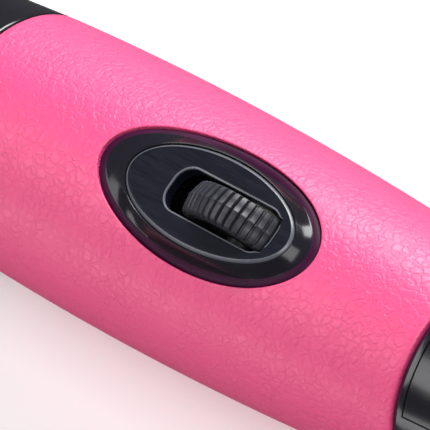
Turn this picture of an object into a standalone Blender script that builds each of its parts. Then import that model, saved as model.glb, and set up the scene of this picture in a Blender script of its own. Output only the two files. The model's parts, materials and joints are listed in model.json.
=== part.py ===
"""Motor-driven hair curler: a pink leather-grained grip with an oval thumb-wheel window, a black gear
collar, a turning heated barrel with a sprung hair clamp, a tail cap with a cord swivel and a folding stand.

Everything is drawn in body coordinates, in millimetres: +X along the barrel, +Z up through the thumb wheel,
with x = 0 at the middle of the window and the barrel's axis at y = z = 0. One empty then carries the body
to where it rests on a table, nose up on its stand, with the origin under the middle of its bounding box.
"""

import math

import bmesh
import bpy
from mathutils import Vector

MM = 0.001
GAP = 0.3  # between parts that touch
TURN = 2 * math.pi

# Grip: a barrel-shaped body, widest behind the window
GRIP_R, GRIP_WIDEST_X, GRIP_BOW_R = 19.0, -20.0, 549.0
GRIP_BACK_X, GRIP_FRONT_X = -47.6, 38.6
GRIP_WALL = 2.0
SPLIT_Z = -5.0

# Screws that close the grip from below, their bosses, and the ribs that carry the board
BOSS_X, BOSS_Y, BOSS_R = (-38.0, 14.0), 12.2, 2.4
SCREW_R, SCREW_HEAD_R, SCREW_HEAD_HEIGHT, SCREW_TOP_Z, SCREW_HEAD_Z = 1.1, 2.1, 1.5, 3.0, -10.8
PILOT_R, COUNTERBORE_R, COUNTERBORE_Z = 1.3, 2.4, -9.0
BOARD_RIB_X, BOARD_RIB_THICK, BOARD_RIB_HALF_Y = (-30.0, 2.0), 1.6, 12.0

# Oval window, its bezel and the plate with the wheel slot
WINDOW_A, WINDOW_B = 19.2, 9.5
BEZEL_SINK, FLANGE, FLANGE_THICK, WELL_GAP, WELL_LOW_Z = 0.45, 1.5, 1.2, 0.2, 13.6
PLATE_X, PLATE_A, PLATE_B, PLATE_TOP, PLATE_THICK = 0.5, 14.8, 7.0, 18.6, 2.0
SLOT_X, SLOT_LENGTH, SLOT_WIDTH, SLOT_CORNER = 2.95, 18.7, 6.8, 2.6

# Thumb wheel
WHEEL_X, WHEEL_Z, WHEEL_R, WHEEL_WIDTH = 4.4, 12.0, 9.9, 5.1
WHEEL_RIBS, WHEEL_RIB_DEPTH, WHEEL_CREST = 46, 0.75, 0.45
AXLE_R, AXLE_HALF_Y, RUNNING = 1.3, 5.9, 0.12
ARM_R, ARM_HALF, ARM_LOW_Z, ARM_THICK = 3.0, 1.1, 1.9, 1.2
CRADLE_HALF_X, CRADLE_HALF_Y, CHEEK_HALF_X, CRADLE_GAP_Y, CRADLE_FLOOR_Z = 8.5, 5.5, 3.0, 4.3, 1.2
SWITCH_NEAR, SWITCH_FAR, SWITCH_Y, SWITCH_Z = 5.4, 8.3, (2.8, 4.1), (1.5, 4.5)

# Collar, drive train and barrel, from back to front along the axis
COLLAR_BACK_X, COLLAR_FRONT_X, COLLAR_FRONT_R, COLLAR_BORE_R = 38.9, 84.0, 14.7, 12.7
COVER_HALF_ANGLE, COVER_BACK_X, COVER_FRONT_X, COVER_THICK = math.radians(47), 40.4, 74.0, 1.0
MOTOR_BACK_X, MOTOR_FRONT_X, MOTOR_R, MOTOR_SHAFT_R = 18.0, 48.0, 12.0, 1.0
GEAR_BACK_X, GEAR_FRONT_X = 51.0, 57.0
MODULE, SUN_TEETH, PLANET_TEETH, RING_TEETH, RING_R = 0.6, 12, 12, 36, 12.5
PRESSURE_ANGLE = math.radians(20)
TOOTH_TOP, TOOTH_ROOT, RING_TOOTH_TOP, BACKLASH = 0.48, 0.66, 0.30, 0.12
PLANET_PIN_R, PIN_SEAT_X = 1.2, 59.4
PLANETS, ORBIT = 3, MODULE * (SUN_TEETH + PLANET_TEETH) / 2
CARRIER_BACK_X, CARRIER_FRONT_X, CARRIER_R = 58.0, 61.0, 10.6
HUB_R, HUB_BORE_R, HUB_FRONT_X = 8.6, 5.2, 100.0
SLIP_RING_X, SLIP_RING_WIDTH, SLIP_RING_R = (65.0, 70.0), 2.4, 10.0
BRUSH_TOP, BRUSH_HALF_Y = 11.2, 1.6
BEARING_BACK_X, BEARING_FRONT_X, BEARING_R = 77.0, 82.6, 12.2
BASE_BACK_X, BASE_FRONT_X, BASE_R = 84.6, 98.0, 14.2
BARREL_FRONT_X, BARREL_R, BARREL_WALL = 215.0, 12.5, 1.0
HEATER_X, HEATER_R = (110.0, 196.0), 11.2
HEATER_PLATE_X, HEATER_PLATE_HALF_Y, HEATER_PLATE_HALF_Z = (112.0, 194.0), 9.0, 1.9
FUSE_X, FUSE_Z, FUSE_R = (198.0, 209.0), 5.0, 2.0
SHIELD_GAP, SHIELD_THICK, SHIELD_BORE_R = 2.2, 2.0, 3.0
TIP_FRONT_X, TIP_FRONT_R, TIP_SPIGOT = 233.0, 4.0, 4.0

# Hair clamp on the barrel's base
CLAMP_PIN_X, CLAMP_PIN_Z, CLAMP_PIN_R = 94.0, 18.0, 1.2
CLAMP_BACK_X, CLAMP_FRONT_X, CLAMP_HALF_ANGLE = 103.0, 211.0, math.radians(50)
CLAMP_THICK, LEVER_WIDTH, KNUCKLE_R, KNUCKLE_HALF_Y, SPRING_GAP = 1.0, 14.0, 2.5, 4.8, (3.4, 2.9)
LUG_R, LUG_Y, RIVET_R, RIVET_HEAD_R, RIVET_HEAD_HEIGHT, RIVET_HOLE_R = 2.6, (5.1, 6.9), 1.0, 2.0, 0.7, 1.15

# Tail cap, cord swivel and power button
TAIL_BACK_X, TAIL_END_R, TAIL_WALL = -104.0, 8.8, 2.0
SWIVEL_BORE_R, SWIVEL_NECK_R, SWIVEL_END_R, SWIVEL_END_X = 3.6, 6.5, 5.2, -111.0
BUTTON_X, BUTTON_R, LIGHT_X, LIGHT_R = -66.0, 4.5, -56.5, 1.2
BUTTON_RISE, BUTTON_SKIRT, STEM_R, STEM_LOW_Z, LIGHT_LOW_Z = 0.7, 2.6, 1.8, 3.2, 10.5
POWER_SWITCH_HALF, POWER_SWITCH_TOP = 3.0, 1.8

# Board and what stands on it
BOARD_BACK_X, BOARD_FRONT_X, BOARD_HALF_Y, BOARD_TOP, BOARD_THICK = -84.0, 15.0, 9.2, -3.0, 1.6
CORE_X, CORE_HALF_Y, CORE_TOP = (-34.0, -14.0), 6.0, 9.0
WINDING_X, WINDING_HALF_Y, WINDING_Z = (-30.0, -18.0), 9.0, (-1.5, 7.5)
CAPACITOR_X, CAPACITOR_R, CAPACITOR_RISE = (-56.0, -42.0), 4.2, 4.6

# Stand under the collar, and how far up the nose it holds
PITCH = math.radians(5.0)
STAND_PIN_X, STAND_PIN_Z, STAND_PIN_R, STAND_BOSS_R = 62.0, -6.0, 1.4, 3.2
STAND_PIN_HEAD_R, STAND_PIN_HEAD_HEIGHT, STAND_PIN_Y = 2.4, 0.9, (12.9, 18.6)
STAND_ARM_Y, STAND_ARM_THICK, FOOT_HALF_Y = 15.2, 2.0, 19.0
FOOT_BACK_X, FOOT_FRONT_X, FOOT_HEIGHT = 64.5, 71.0, 2.6


# ---- shape rules -------------------------------------------------------------------------------------

def hermite(x, start, end):
    """A cubic from start to end, each (x, value, slope)."""
    (x0, v0, s0), (x1, v1, s1) = start, end
    span = x1 - x0
    t = (x - x0) / span
    return ((2 * t**3 - 3 * t**2 + 1) * v0 + (t**3 - 2 * t**2 + t) * span * s0
            + (3 * t**2 - 2 * t**3) * v1 + (t**3 - t**2) * span * s1)


def grip_radius(x):
    return GRIP_R - (x - GRIP_WIDEST_X) ** 2 / (2 * GRIP_BOW_R)


def grip_slope(x):
    return -(x - GRIP_WIDEST_X) / GRIP_BOW_R


def collar_radius(x):
    return hermite(x, (GRIP_FRONT_X, grip_radius(GRIP_FRONT_X), grip_slope(GRIP_FRONT_X)),
                   (COLLAR_FRONT_X, COLLAR_FRONT_R, -0.01))


def tail_radius(x):
    return hermite(x, (TAIL_BACK_X, TAIL_END_R, 0.42), (GRIP_BACK_X, grip_radius(GRIP_BACK_X), 0.08))


def steps(low, high, count):
    return [low + (high - low) * i / count for i in range(count + 1)]


def floor_z(x):
    """Where the table lies under the body at x, in body coordinates."""
    return -(AXIS_HEIGHT + x * math.sin(PITCH)) / math.cos(PITCH)


AXIS_HEIGHT = max(tail_radius(x) * math.cos(PITCH) - x * math.sin(PITCH)
                  for x in steps(TAIL_BACK_X, GRIP_BACK_X, 200))
BOX_BACK_X = SWIVEL_END_X * math.cos(PITCH) - SWIVEL_END_R * math.sin(PITCH)
BOX_FRONT_X = TIP_FRONT_X * math.cos(PITCH) + TIP_FRONT_R * math.sin(PITCH)


# ---- building tools ----------------------------------------------------------------------------------

def clear_scene():
    for obj in list(bpy.data.objects):
        bpy.data.objects.remove(obj)


def make_material(name, colour, roughness, metallic=0.0):
    material = bpy.data.materials.new(name)
    material.use_nodes = True
    shader = material.node_tree.nodes["Principled BSDF"]
    shader.inputs["Base Color"].default_value = (*colour, 1.0)
    shader.inputs["Roughness"].default_value = roughness
    shader.inputs["Metallic"].default_value = metallic
    material.diffuse_color = (*colour, 1.0)
    return material


def place(name, bm, material=None, smooth=math.radians(35)):
    """One object from a bmesh in millimetres, hung on the body's empty. Without a material it shapes others."""
    bmesh.ops.remove_doubles(bm, verts=bm.verts, dist=1e-4)
    bmesh.ops.dissolve_degenerate(bm, edges=bm.edges, dist=1e-5)
    bmesh.ops.recalc_face_normals(bm, faces=bm.faces)
    bmesh.ops.scale(bm, vec=(MM, MM, MM), verts=bm.verts)
    mesh = bpy.data.meshes.new(name)
    bm.to_mesh(mesh)
    bm.free()
    mesh.shade_smooth()
    mesh.set_sharp_from_angle(angle=smooth)
    obj = bpy.data.objects.new(name, mesh)
    bpy.context.scene.collection.objects.link(obj)
    obj.parent = BODY
    if material is None:
        obj.hide_render = True
        obj.display_type = "WIRE"
    else:
        mesh.materials.append(material)
    return obj


def pivot(name, x, y, z, *pieces):
    """An empty on a joint's axis, which carries the pieces that move about it."""
    empty = bpy.data.objects.new(name, None)
    bpy.context.scene.collection.objects.link(empty)
    empty.parent = BODY
    empty.location = (x * MM, y * MM, z * MM)
    for piece in pieces:
        obj = bpy.data.objects[piece]
        obj.parent = empty
        obj.location = -empty.location


def combine(obj, other, operation):
    modifier = obj.modifiers.new(operation.lower(), "BOOLEAN")
    modifier.operation = operation
    modifier.object = other
    return obj


def cut(obj, *cutters):
    for cutter in cutters:
        combine(obj, cutter, "DIFFERENCE")
    return obj


def join(obj, *others):
    for other in others:
        combine(obj, other, "UNION")
    return obj


def apply_cuts():
    """Turns each piece's Booleans into its own mesh while the body is still square to the world."""
    graph = bpy.context.evaluated_depsgraph_get()
    pieces = [obj for obj in bpy.data.objects if obj.modifiers]
    meshes = [bpy.data.meshes.new_from_object(obj.evaluated_get(graph)) for obj in pieces]
    for obj, mesh in zip(pieces, meshes):
        obj.modifiers.clear()
        obj.data = mesh
    for obj in [obj for obj in bpy.data.objects if obj.hide_render]:
        bpy.data.objects.remove(obj)


def turned(name, outline, material=None, sides=32):
    """A closed outline of (x, radius) turned about the X axis. It may start and end at radius 0."""
    bm = bmesh.new()
    verts = [bm.verts.new((x, 0, r)) for x, r in outline]
    edges = [bm.edges.new(pair) for pair in zip(verts, verts[1:])]
    if outline[0][1] > 0 or outline[-1][1] > 0:
        edges.append(bm.edges.new((verts[-1], verts[0])))
    bmesh.ops.spin(bm, geom=verts + edges, axis=(1, 0, 0), angle=TURN, steps=sides, use_merge=True)
    return place(name, bm, material)


def prism(name, outline, low, high, material=None, along="Z"):
    """A flat outline of (x, y) pushed along Z, (x, z) along Y or (y, z) along X, from low to high."""
    order = {"Z": lambda a, b, c: (a, b, c), "Y": lambda a, b, c: (a, c, b), "X": lambda a, b, c: (c, a, b)}
    point = order[along]
    bm = bmesh.new()
    face = bm.faces.new([bm.verts.new(point(a, b, low)) for a, b in outline])
    made = bmesh.ops.extrude_face_region(bm, geom=[face])
    push = Vector(point(0, 0, high - low))
    bmesh.ops.translate(bm, vec=push, verts=[v for v in made["geom"] if isinstance(v, bmesh.types.BMVert)])
    return place(name, bm, material)


def box(name, x, y, z, material=None, bevel=0.0):
    """A box from its (low, high) pairs, with its edges rounded off by bevel."""
    bm = bmesh.new()
    bmesh.ops.create_cube(bm, size=1)
    size = [high - low for low, high in (x, y, z)]
    middle = [(high + low) / 2 for low, high in (x, y, z)]
    bmesh.ops.scale(bm, vec=size, verts=bm.verts)
    bmesh.ops.translate(bm, vec=middle, verts=bm.verts)
    if bevel:
        bmesh.ops.bevel(bm, geom=bm.edges, offset=bevel, segments=1, affect="EDGES", profile=0.5)
    return place(name, bm, material)


def rod(name, start, end, radius, material=None, sides=16, head=None):
    """A round bar between two points. head is (radius, length) of a head at the end."""
    start, end = Vector(start), Vector(end)
    way = (end - start).normalized()
    side = way.orthogonal().normalized()
    other = way.cross(side)
    length = (end - start).length
    rings = [(0, radius), (length, radius)]
    if head:
        rings = [(0, radius), (length - head[1], radius), (length - head[1], head[0]), (length, head[0])]
    bm = bmesh.new()
    loops = []
    for along, r in rings:
        centre = start + way * along
        loops.append([bm.verts.new(centre + (side * math.cos(a) + other * math.sin(a)) * r)
                      for a in (TURN * i / sides for i in range(sides))])
    skin_loops(bm, loops)
    bm.faces.new(loops[0])
    bm.faces.new(loops[-1])
    return place(name, bm, material)


def skin_loops(bm, loops, closed=False):
    """Quads between each loop of points and the next, and from the last to the first where closed."""
    pairs = list(zip(loops, loops[1:]))
    if closed:
        pairs.append((loops[-1], loops[0]))
    for one, two in pairs:
        for i in range(len(one)):
            j = (i + 1) % len(one)
            bm.faces.new((one[i], one[j], two[j], two[i]))


def lofted_ring(name, loops, material):
    """A ring whose cross-section runs through the loops, each a list of points."""
    bm = bmesh.new()
    skin_loops(bm, [[bm.verts.new(p) for p in loop] for loop in loops], closed=True)
    return place(name, bm, material)


def ellipse(x, a, b, count=48, z=None):
    """Points round an ellipse in the XY plane, with heights from z(x, y) if it is given."""
    flat = [(x + a * math.cos(t), b * math.sin(t)) for t in (TURN * i / count for i in range(count))]
    return flat if z is None else [(px, py, z(px, py)) for px, py in flat]


def arc(cx, cy, radius, start, end, count):
    """Points on an arc, with its angles in degrees."""
    return [(cx + radius * math.cos(math.radians(a)), cy + radius * math.sin(math.radians(a)))
            for a in steps(start, end, count)]


def rounded_slot(x, length, width, corner):
    """A rectangle with round corners, centred on (x, 0)."""
    half_x, half_y = length / 2 - corner, width / 2 - corner
    points = []
    for sx, sy, start in ((1, 1, 0), (-1, 1, 90), (-1, -1, 180), (1, -1, 270)):
        points += arc(x + sx * half_x, sy * half_y, corner, start, start + 90, 4)
    return points


def gear_outline(teeth, addendum, dedendum, thinning, phase=0.0):
    """An involute gear's outline. thinning is taken off each tooth at the pitch circle, in millimetres."""
    pitch_r = MODULE * teeth / 2
    base_r = pitch_r * math.cos(PRESSURE_ANGLE)
    root_r, top_r = pitch_r - dedendum, pitch_r + addendum

    def half_angle(r):
        roll = math.acos(min(1.0, base_r / r))
        at_pitch = math.tan(PRESSURE_ANGLE) - PRESSURE_ANGLE
        return math.pi / 2 / teeth - thinning / 2 / pitch_r + at_pitch - (math.tan(roll) - roll)

    radii = [root_r, max(root_r + 0.02, base_r), pitch_r, top_r]
    points = []
    for tooth in range(teeth):
        middle = TURN * tooth / teeth + phase
        flank = [(r, half_angle(max(r, base_r))) for r in radii]
        points += [(r, middle - a) for r, a in flank] + [(r, middle + a) for r, a in reversed(flank)]
    return [(r * math.cos(a), r * math.sin(a)) for r, a in points]


# ---- grip --------------------------------------------------------------------------------------------

def grip_solid(name, inset, low, high, material=None):
    """The grip's solid of revolution, drawn in by inset."""
    outline = [(x, grip_radius(x) - inset) for x in steps(low, high, 8)]
    return turned(name, [(low, 0), *outline, (high, 0)], material, 44)


def make_grip():
    cavity_top = grip_solid("cavity_top_cutter", GRIP_WALL, GRIP_BACK_X - 2, GRIP_FRONT_X + 2)
    cavity_bottom = grip_solid("cavity_bottom_cutter", GRIP_WALL, GRIP_BACK_X - 2, GRIP_FRONT_X + 2)
    top = grip_solid("grip_shell_top", 0, GRIP_BACK_X, GRIP_FRONT_X, PINK)
    bottom = grip_solid("grip_shell_bottom", 0, GRIP_BACK_X, GRIP_FRONT_X, PINK)
    screws = [(x, side * BOSS_Y, f"{end}_{word}") for x, end in zip(BOSS_X, ("back", "front"))
              for side, word in ((1, "left"), (-1, "right"))]
    holes = []
    for x, y, where in screws:
        cut(cavity_top, rod(f"boss_top_{where}_cutter", (x, y, SPLIT_Z - 4), (x, y, 30), BOSS_R))
        cut(cavity_bottom, rod(f"boss_bottom_{where}_cutter", (x, y, -30), (x, y, SPLIT_Z + 4), BOSS_R + 1))
        holes.append((rod(f"pilot_{where}_cutter", (x, y, -30), (x, y, SCREW_TOP_Z + 1), PILOT_R),
                      rod(f"counterbore_{where}_cutter", (x, y, -30), (x, y, COUNTERBORE_Z), COUNTERBORE_R)))
        rod(f"case_screw_{where}", (x, y, SCREW_TOP_Z), (x, y, SCREW_HEAD_Z), SCREW_R, STEEL, 12,
            head=(SCREW_HEAD_R, SCREW_HEAD_HEIGHT))
    for x, word in zip(BOARD_RIB_X, ("back", "front")):
        cut(cavity_bottom, box(f"board_rib_{word}_cutter", (x, x + BOARD_RIB_THICK),
                               (-BOARD_RIB_HALF_Y, BOARD_RIB_HALF_Y), (-30, BOARD_TOP - BOARD_THICK - 0.4)))
    below = box("below_split_cutter", (-60, 60), (-40, 40), (-40, SPLIT_Z))
    above = box("above_split_cutter", (-60, 60), (-40, 40), (SPLIT_Z - GAP, 40))
    window = prism("window_cutter", ellipse(0, WINDOW_A, WINDOW_B, 64), 8, 30)
    cut(top, below, cavity_top, window)
    cut(bottom, above, cavity_bottom)
    for pilot, counterbore in holes:
        cut(top, pilot)
        cut(bottom, pilot, counterbore)


def make_window():
    def outer(x, y):
        return math.sqrt(grip_radius(x) ** 2 - y**2)

    def inner(x, y):
        return math.sqrt((grip_radius(x) - GRIP_WALL) ** 2 - y**2) - GAP

    a, b = WINDOW_A - GAP, WINDOW_B - GAP
    well_a, well_b = PLATE_A + WELL_GAP, PLATE_B + WELL_GAP
    lofted_ring("bezel_ring", [
        ellipse(0, a, b, z=lambda x, y: outer(x, y) - BEZEL_SINK),
        ellipse(0, a, b, z=inner),
        ellipse(0, a + FLANGE, b + FLANGE, z=inner),
        ellipse(0, a + FLANGE, b + FLANGE, z=lambda x, y: inner(x, y) - FLANGE_THICK),
        ellipse(PLATE_X, well_a, well_b, z=lambda x, y: WELL_LOW_Z),
        ellipse(PLATE_X, well_a, well_b, z=lambda x, y: PLATE_TOP - WELL_GAP),
    ], GLOSS_BLACK)
    bm = bmesh.new()
    rings = [(0.0, PLATE_TOP - PLATE_THICK), (0.0, PLATE_TOP - 0.35), (0.35, PLATE_TOP)]
    loops = [[bm.verts.new(p) for p in ellipse(PLATE_X, PLATE_A - d, PLATE_B - d, z=lambda x, y, h=h: h)]
             for d, h in rings]
    skin_loops(bm, loops)
    bm.faces.new(loops[0])
    bm.faces.new(loops[-1])
    plate = place("selector_plate", bm, SATIN_BLACK)
    slot = rounded_slot(SLOT_X, SLOT_LENGTH, SLOT_WIDTH, SLOT_CORNER)
    half = WHEEL_WIDTH / 2 + GAP
    cut(plate, prism("slot_cutter", slot, PLATE_TOP - 6, PLATE_TOP + 4),
        rod("wheel_room_cutter", (WHEEL_X, -half, WHEEL_Z), (WHEEL_X, half, WHEEL_Z), WHEEL_R + GAP, sides=64))


# ---- thumb wheel -------------------------------------------------------------------------------------

def make_wheel():
    pitch = TURN / WHEEL_RIBS

    def rim(y, crown):
        points = []
        for i in range(WHEEL_RIBS):
            for share, depth in ((-0.30, WHEEL_RIB_DEPTH), (-0.20, 0), (0.20, 0), (0.30, WHEEL_RIB_DEPTH)):
                angle, r = (i + share) * pitch, WHEEL_R - crown - depth
                points.append((WHEEL_X + r * math.sin(angle), y, WHEEL_Z + r * math.cos(angle)))
        return points

    bm = bmesh.new()
    half = WHEEL_WIDTH / 2
    loops = [[bm.verts.new(p) for p in rim(y, crown)]
             for y, crown in ((-half, WHEEL_CREST), (0, 0), (half, WHEEL_CREST))]
    skin_loops(bm, loops)
    bm.faces.new(loops[0])
    bm.faces.new(loops[-1])
    wheel = place("selector_wheel", bm, WHEEL_BLACK)
    cut(wheel, rod("wheel_bore_cutter", (WHEEL_X, -9, WHEEL_Z), (WHEEL_X, 9, WHEEL_Z), AXLE_R + RUNNING))
    rod("wheel_axle", (WHEEL_X, -AXLE_HALF_Y, WHEEL_Z), (WHEEL_X, AXLE_HALF_Y, WHEEL_Z), AXLE_R, STEEL)
    arm = arc(WHEEL_X, WHEEL_Z, ARM_R, -30, 210, 10)
    arm += [(WHEEL_X - ARM_HALF, ARM_LOW_Z), (WHEEL_X + ARM_HALF, ARM_LOW_Z)]
    switch_arm = prism("switch_arm", arm, half + 0.2, half + 0.2 + ARM_THICK, WHITE, along="Y")
    cut(switch_arm, rod("arm_bore_cutter", (WHEEL_X, -9, WHEEL_Z), (WHEEL_X, 9, WHEEL_Z), AXLE_R + RUNNING))

    foot = BOARD_TOP + GAP
    right_half = [(CRADLE_HALF_X, foot), (CRADLE_HALF_X, CRADLE_FLOOR_Z + 0.2), (CHEEK_HALF_X, 8.0),
                  (CHEEK_HALF_X, 14.2)]
    cheek = [(WHEEL_X + x, z) for x, z in right_half] + [(WHEEL_X - x, z) for x, z in reversed(right_half)]
    cradle = prism("wheel_cradle", cheek, -CRADLE_HALF_Y, CRADLE_HALF_Y, GREY, along="Y")
    cut(cradle, box("cradle_gap_cutter", (-20, 30), (-CRADLE_GAP_Y, CRADLE_GAP_Y), (CRADLE_FLOOR_Z, 30)),
        rod("cradle_bore_cutter", (WHEEL_X, -9, WHEEL_Z), (WHEEL_X, 9, WHEEL_Z), AXLE_R + 0.05))
    for word, side in (("front", 1), ("back", -1)):
        near, far = sorted((WHEEL_X + side * SWITCH_NEAR, WHEEL_X + side * SWITCH_FAR))
        box(f"direction_switch_{word}", (near, far), SWITCH_Y, SWITCH_Z, SATIN_BLACK)


# ---- tail --------------------------------------------------------------------------------------------

def make_tail():
    seam = GRIP_BACK_X - GAP
    outside = [(x, tail_radius(x)) for x in steps(seam, TAIL_BACK_X, 9)]
    inside = [(x, tail_radius(x) - TAIL_WALL) for x in steps(TAIL_BACK_X + 6, seam - 5, 4)]
    spigot_r = grip_radius(GRIP_BACK_X) - GRIP_WALL - GAP
    outline = [*outside, (TAIL_BACK_X, SWIVEL_NECK_R + 0.2), (TAIL_BACK_X + 2.4, SWIVEL_NECK_R + 0.2),
               (TAIL_BACK_X + 2.4, 8.4), *inside, (seam - 2, spigot_r - 1.6),
               (GRIP_BACK_X + 5, spigot_r - 1.6), (GRIP_BACK_X + 5, spigot_r), (seam, spigot_r)]
    tail = turned("tail_cap", outline, GLOSS_BLACK)
    cut(tail, rod("button_hole_cutter", (BUTTON_X, 0, 5), (BUTTON_X, 0, 30), BUTTON_R + 0.25, sides=24),
        rod("light_hole_cutter", (LIGHT_X, 0, 5), (LIGHT_X, 0, 30), LIGHT_R + 0.15))
    top = tail_radius(BUTTON_X)
    button = rod("power_button", (BUTTON_X, 0, top - BUTTON_SKIRT), (BUTTON_X, 0, top + BUTTON_RISE), BUTTON_R,
                 SATIN_BLACK, 24)
    stem_top = top - BUTTON_SKIRT + 1
    join(button, rod("button_stem_bar", (BUTTON_X, 0, STEM_LOW_Z), (BUTTON_X, 0, stem_top), STEM_R))
    box("power_switch", (BUTTON_X - POWER_SWITCH_HALF, BUTTON_X + POWER_SWITCH_HALF),
        (-POWER_SWITCH_HALF, POWER_SWITCH_HALF), (BOARD_TOP + GAP, POWER_SWITCH_TOP), SATIN_BLACK, 0.4)
    rod("power_light", (LIGHT_X, 0, LIGHT_LOW_Z), (LIGHT_X, 0, tail_radius(LIGHT_X) + 0.25), LIGHT_R, LENS, 16)

    neck_front = TAIL_BACK_X + 2.7
    turned("cord_swivel", [
        (SWIVEL_END_X, SWIVEL_BORE_R), (SWIVEL_END_X, SWIVEL_END_R), (SWIVEL_END_X + 0.8, 6.0),
        (SWIVEL_END_X + 4.0, SWIVEL_NECK_R), (neck_front, SWIVEL_NECK_R), (neck_front, 8.0),
        (neck_front + 2.0, 8.0), (neck_front + 2.0, 6.0), (neck_front + 5.0, 6.0),
        (neck_front + 5.0, SWIVEL_BORE_R)], RUBBER)
    retainer_x = neck_front + 2.4
    turned("swivel_retainer", [(retainer_x, 6.3), (retainer_x, 8.3), (retainer_x + 1.2, 8.3),
                               (retainer_x + 1.2, 6.3)], STEEL)


# ---- board -------------------------------------------------------------------------------------------

def make_board():
    low = BOARD_TOP - BOARD_THICK
    box("control_board", (BOARD_BACK_X, BOARD_FRONT_X), (-BOARD_HALF_Y, BOARD_HALF_Y), (low, BOARD_TOP),
        BOARD_GREEN)
    transformer = box("transformer", CORE_X, (-CORE_HALF_Y, CORE_HALF_Y), (BOARD_TOP + GAP, CORE_TOP), STEEL)
    join(transformer, box("winding_block", WINDING_X, (-WINDING_HALF_Y, WINDING_HALF_Y), WINDING_Z, bevel=1.5))
    back, front = ((x, 0, BOARD_TOP + CAPACITOR_RISE) for x in CAPACITOR_X)
    rod("filter_capacitor", back, front, CAPACITOR_R, CAN_BLUE, 20)


# ---- collar ------------------------------------------------------------------------------------------

def make_collar():
    spigot_r = grip_radius(GRIP_FRONT_X) - GRIP_WALL - GAP
    outline = [(GRIP_FRONT_X - 5, spigot_r), (COLLAR_BACK_X, spigot_r)]
    outline += [(x, collar_radius(x)) for x in steps(COLLAR_BACK_X, COLLAR_FRONT_X, 6)]
    outline += [(COLLAR_FRONT_X, 9.8), (BEARING_FRONT_X + GAP, 9.8), (BEARING_FRONT_X + GAP, BEARING_R + 0.2),
                (BEARING_BACK_X, BEARING_R + 0.2), (BEARING_BACK_X, COLLAR_BORE_R),
                (COLLAR_BACK_X + 8, COLLAR_BORE_R), (COLLAR_BACK_X + 8, spigot_r - 1.1),
                (GRIP_FRONT_X - 5, spigot_r - 1.1)]
    collar = turned("front_collar", outline, GLOSS_BLACK)
    for side, word in ((1, "left"), (-1, "right")):
        at = (STAND_PIN_X, side * 12.0, STAND_PIN_Z)
        face = (STAND_PIN_X, side * (STAND_ARM_Y - GAP), STAND_PIN_Z)
        join(collar, rod(f"stand_boss_{word}", at, face, STAND_BOSS_R, sides=20))
        cut(collar, rod(f"stand_bore_{word}_cutter", (STAND_PIN_X, side * 10, STAND_PIN_Z),
                        (STAND_PIN_X, side * 20, STAND_PIN_Z), STAND_PIN_R + RUNNING))
        inner_end, outer_end = ((STAND_PIN_X, side * y, STAND_PIN_Z) for y in STAND_PIN_Y)
        rod(f"stand_pin_{word}", inner_end, outer_end, STAND_PIN_R, STEEL,
            head=(STAND_PIN_HEAD_R, STAND_PIN_HEAD_HEIGHT))
    cut(collar, cover_segment("cover_pocket_cutter", -GAP, None))
    cover_segment("collar_cover", 0.0, GLOSS_BLACK)


def cover_segment(name, shrink, material):
    """The flush panel over the collar's top, or with a negative shrink the pocket that it drops into."""
    deep = 0.0 if material else -GAP
    high = 0.0 if material else 4.0
    half = COVER_HALF_ANGLE - (shrink / COLLAR_FRONT_R)
    stations = steps(COVER_BACK_X + shrink, COVER_FRONT_X - shrink, 8)
    bm = bmesh.new()
    loops = []
    for x in stations:
        out = collar_radius(x) + high
        under = collar_radius(x) - COVER_THICK + deep
        angles = steps(-half, half, 12)
        ring = [(out, a) for a in angles] + [(under, a) for a in reversed(angles)]
        loops.append([bm.verts.new((x, r * math.sin(a), r * math.cos(a))) for r, a in ring])
    skin_loops(bm, loops)
    bm.faces.new(loops[0])
    bm.faces.new(loops[-1])
    return place(name, bm, material)


def make_stand():
    knee = arc(STAND_PIN_X, STAND_PIN_Z, STAND_BOSS_R, 0, 180, 8)
    sole = [(x, floor_z(x)) for x in (FOOT_BACK_X, FOOT_FRONT_X)]
    arm = [*knee, *sole]
    bar = [*sole, *((x, floor_z(x) + FOOT_HEIGHT) for x in (FOOT_FRONT_X - 0.6, FOOT_BACK_X + 0.6))]
    stand = prism("stand_frame", bar, -FOOT_HALF_Y, FOOT_HALF_Y, SATIN_BLACK, along="Y")
    for side, word in ((1, "left"), (-1, "right")):
        faces = sorted((side * STAND_ARM_Y, side * (STAND_ARM_Y + STAND_ARM_THICK)))
        join(stand, prism(f"stand_arm_{word}", arm, *faces, along="Y"))
    cut(stand, rod("stand_pivot_cutter", (STAND_PIN_X, -30, STAND_PIN_Z), (STAND_PIN_X, 30, STAND_PIN_Z),
                   STAND_PIN_R + RUNNING))


# ---- drive -------------------------------------------------------------------------------------------

def make_motor():
    bell = MOTOR_BACK_X + 3
    motor = turned("gear_motor", [(bell + GAP, 0), (bell + GAP, MOTOR_R), (MOTOR_FRONT_X, MOTOR_R),
                                  (MOTOR_FRONT_X, 4.0), (MOTOR_FRONT_X + 1, 4.0), (MOTOR_FRONT_X + 1, 0)],
                   STEEL)
    cut(motor, rod("motor_shaft_bore_cutter", (MOTOR_BACK_X + 12, 0, 0), (60, 0, 0), MOTOR_SHAFT_R + 0.1))
    turned("motor_end_bell", [(MOTOR_BACK_X, 0), (MOTOR_BACK_X, MOTOR_R - 1), (MOTOR_BACK_X + 1, MOTOR_R),
                              (bell, MOTOR_R), (bell, 0)], SATIN_BLACK)
    rod("motor_shaft", (MOTOR_FRONT_X - 15, 0, 0), (GEAR_FRONT_X, 0, 0), MOTOR_SHAFT_R, STEEL)
    turned("motor_mount", [(MOTOR_FRONT_X + GAP, 4.3), (MOTOR_FRONT_X + GAP, 12.4), (MOTOR_FRONT_X + 1.9, 12.4),
                           (MOTOR_FRONT_X + 1.9, 4.3)], STEEL)


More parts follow.
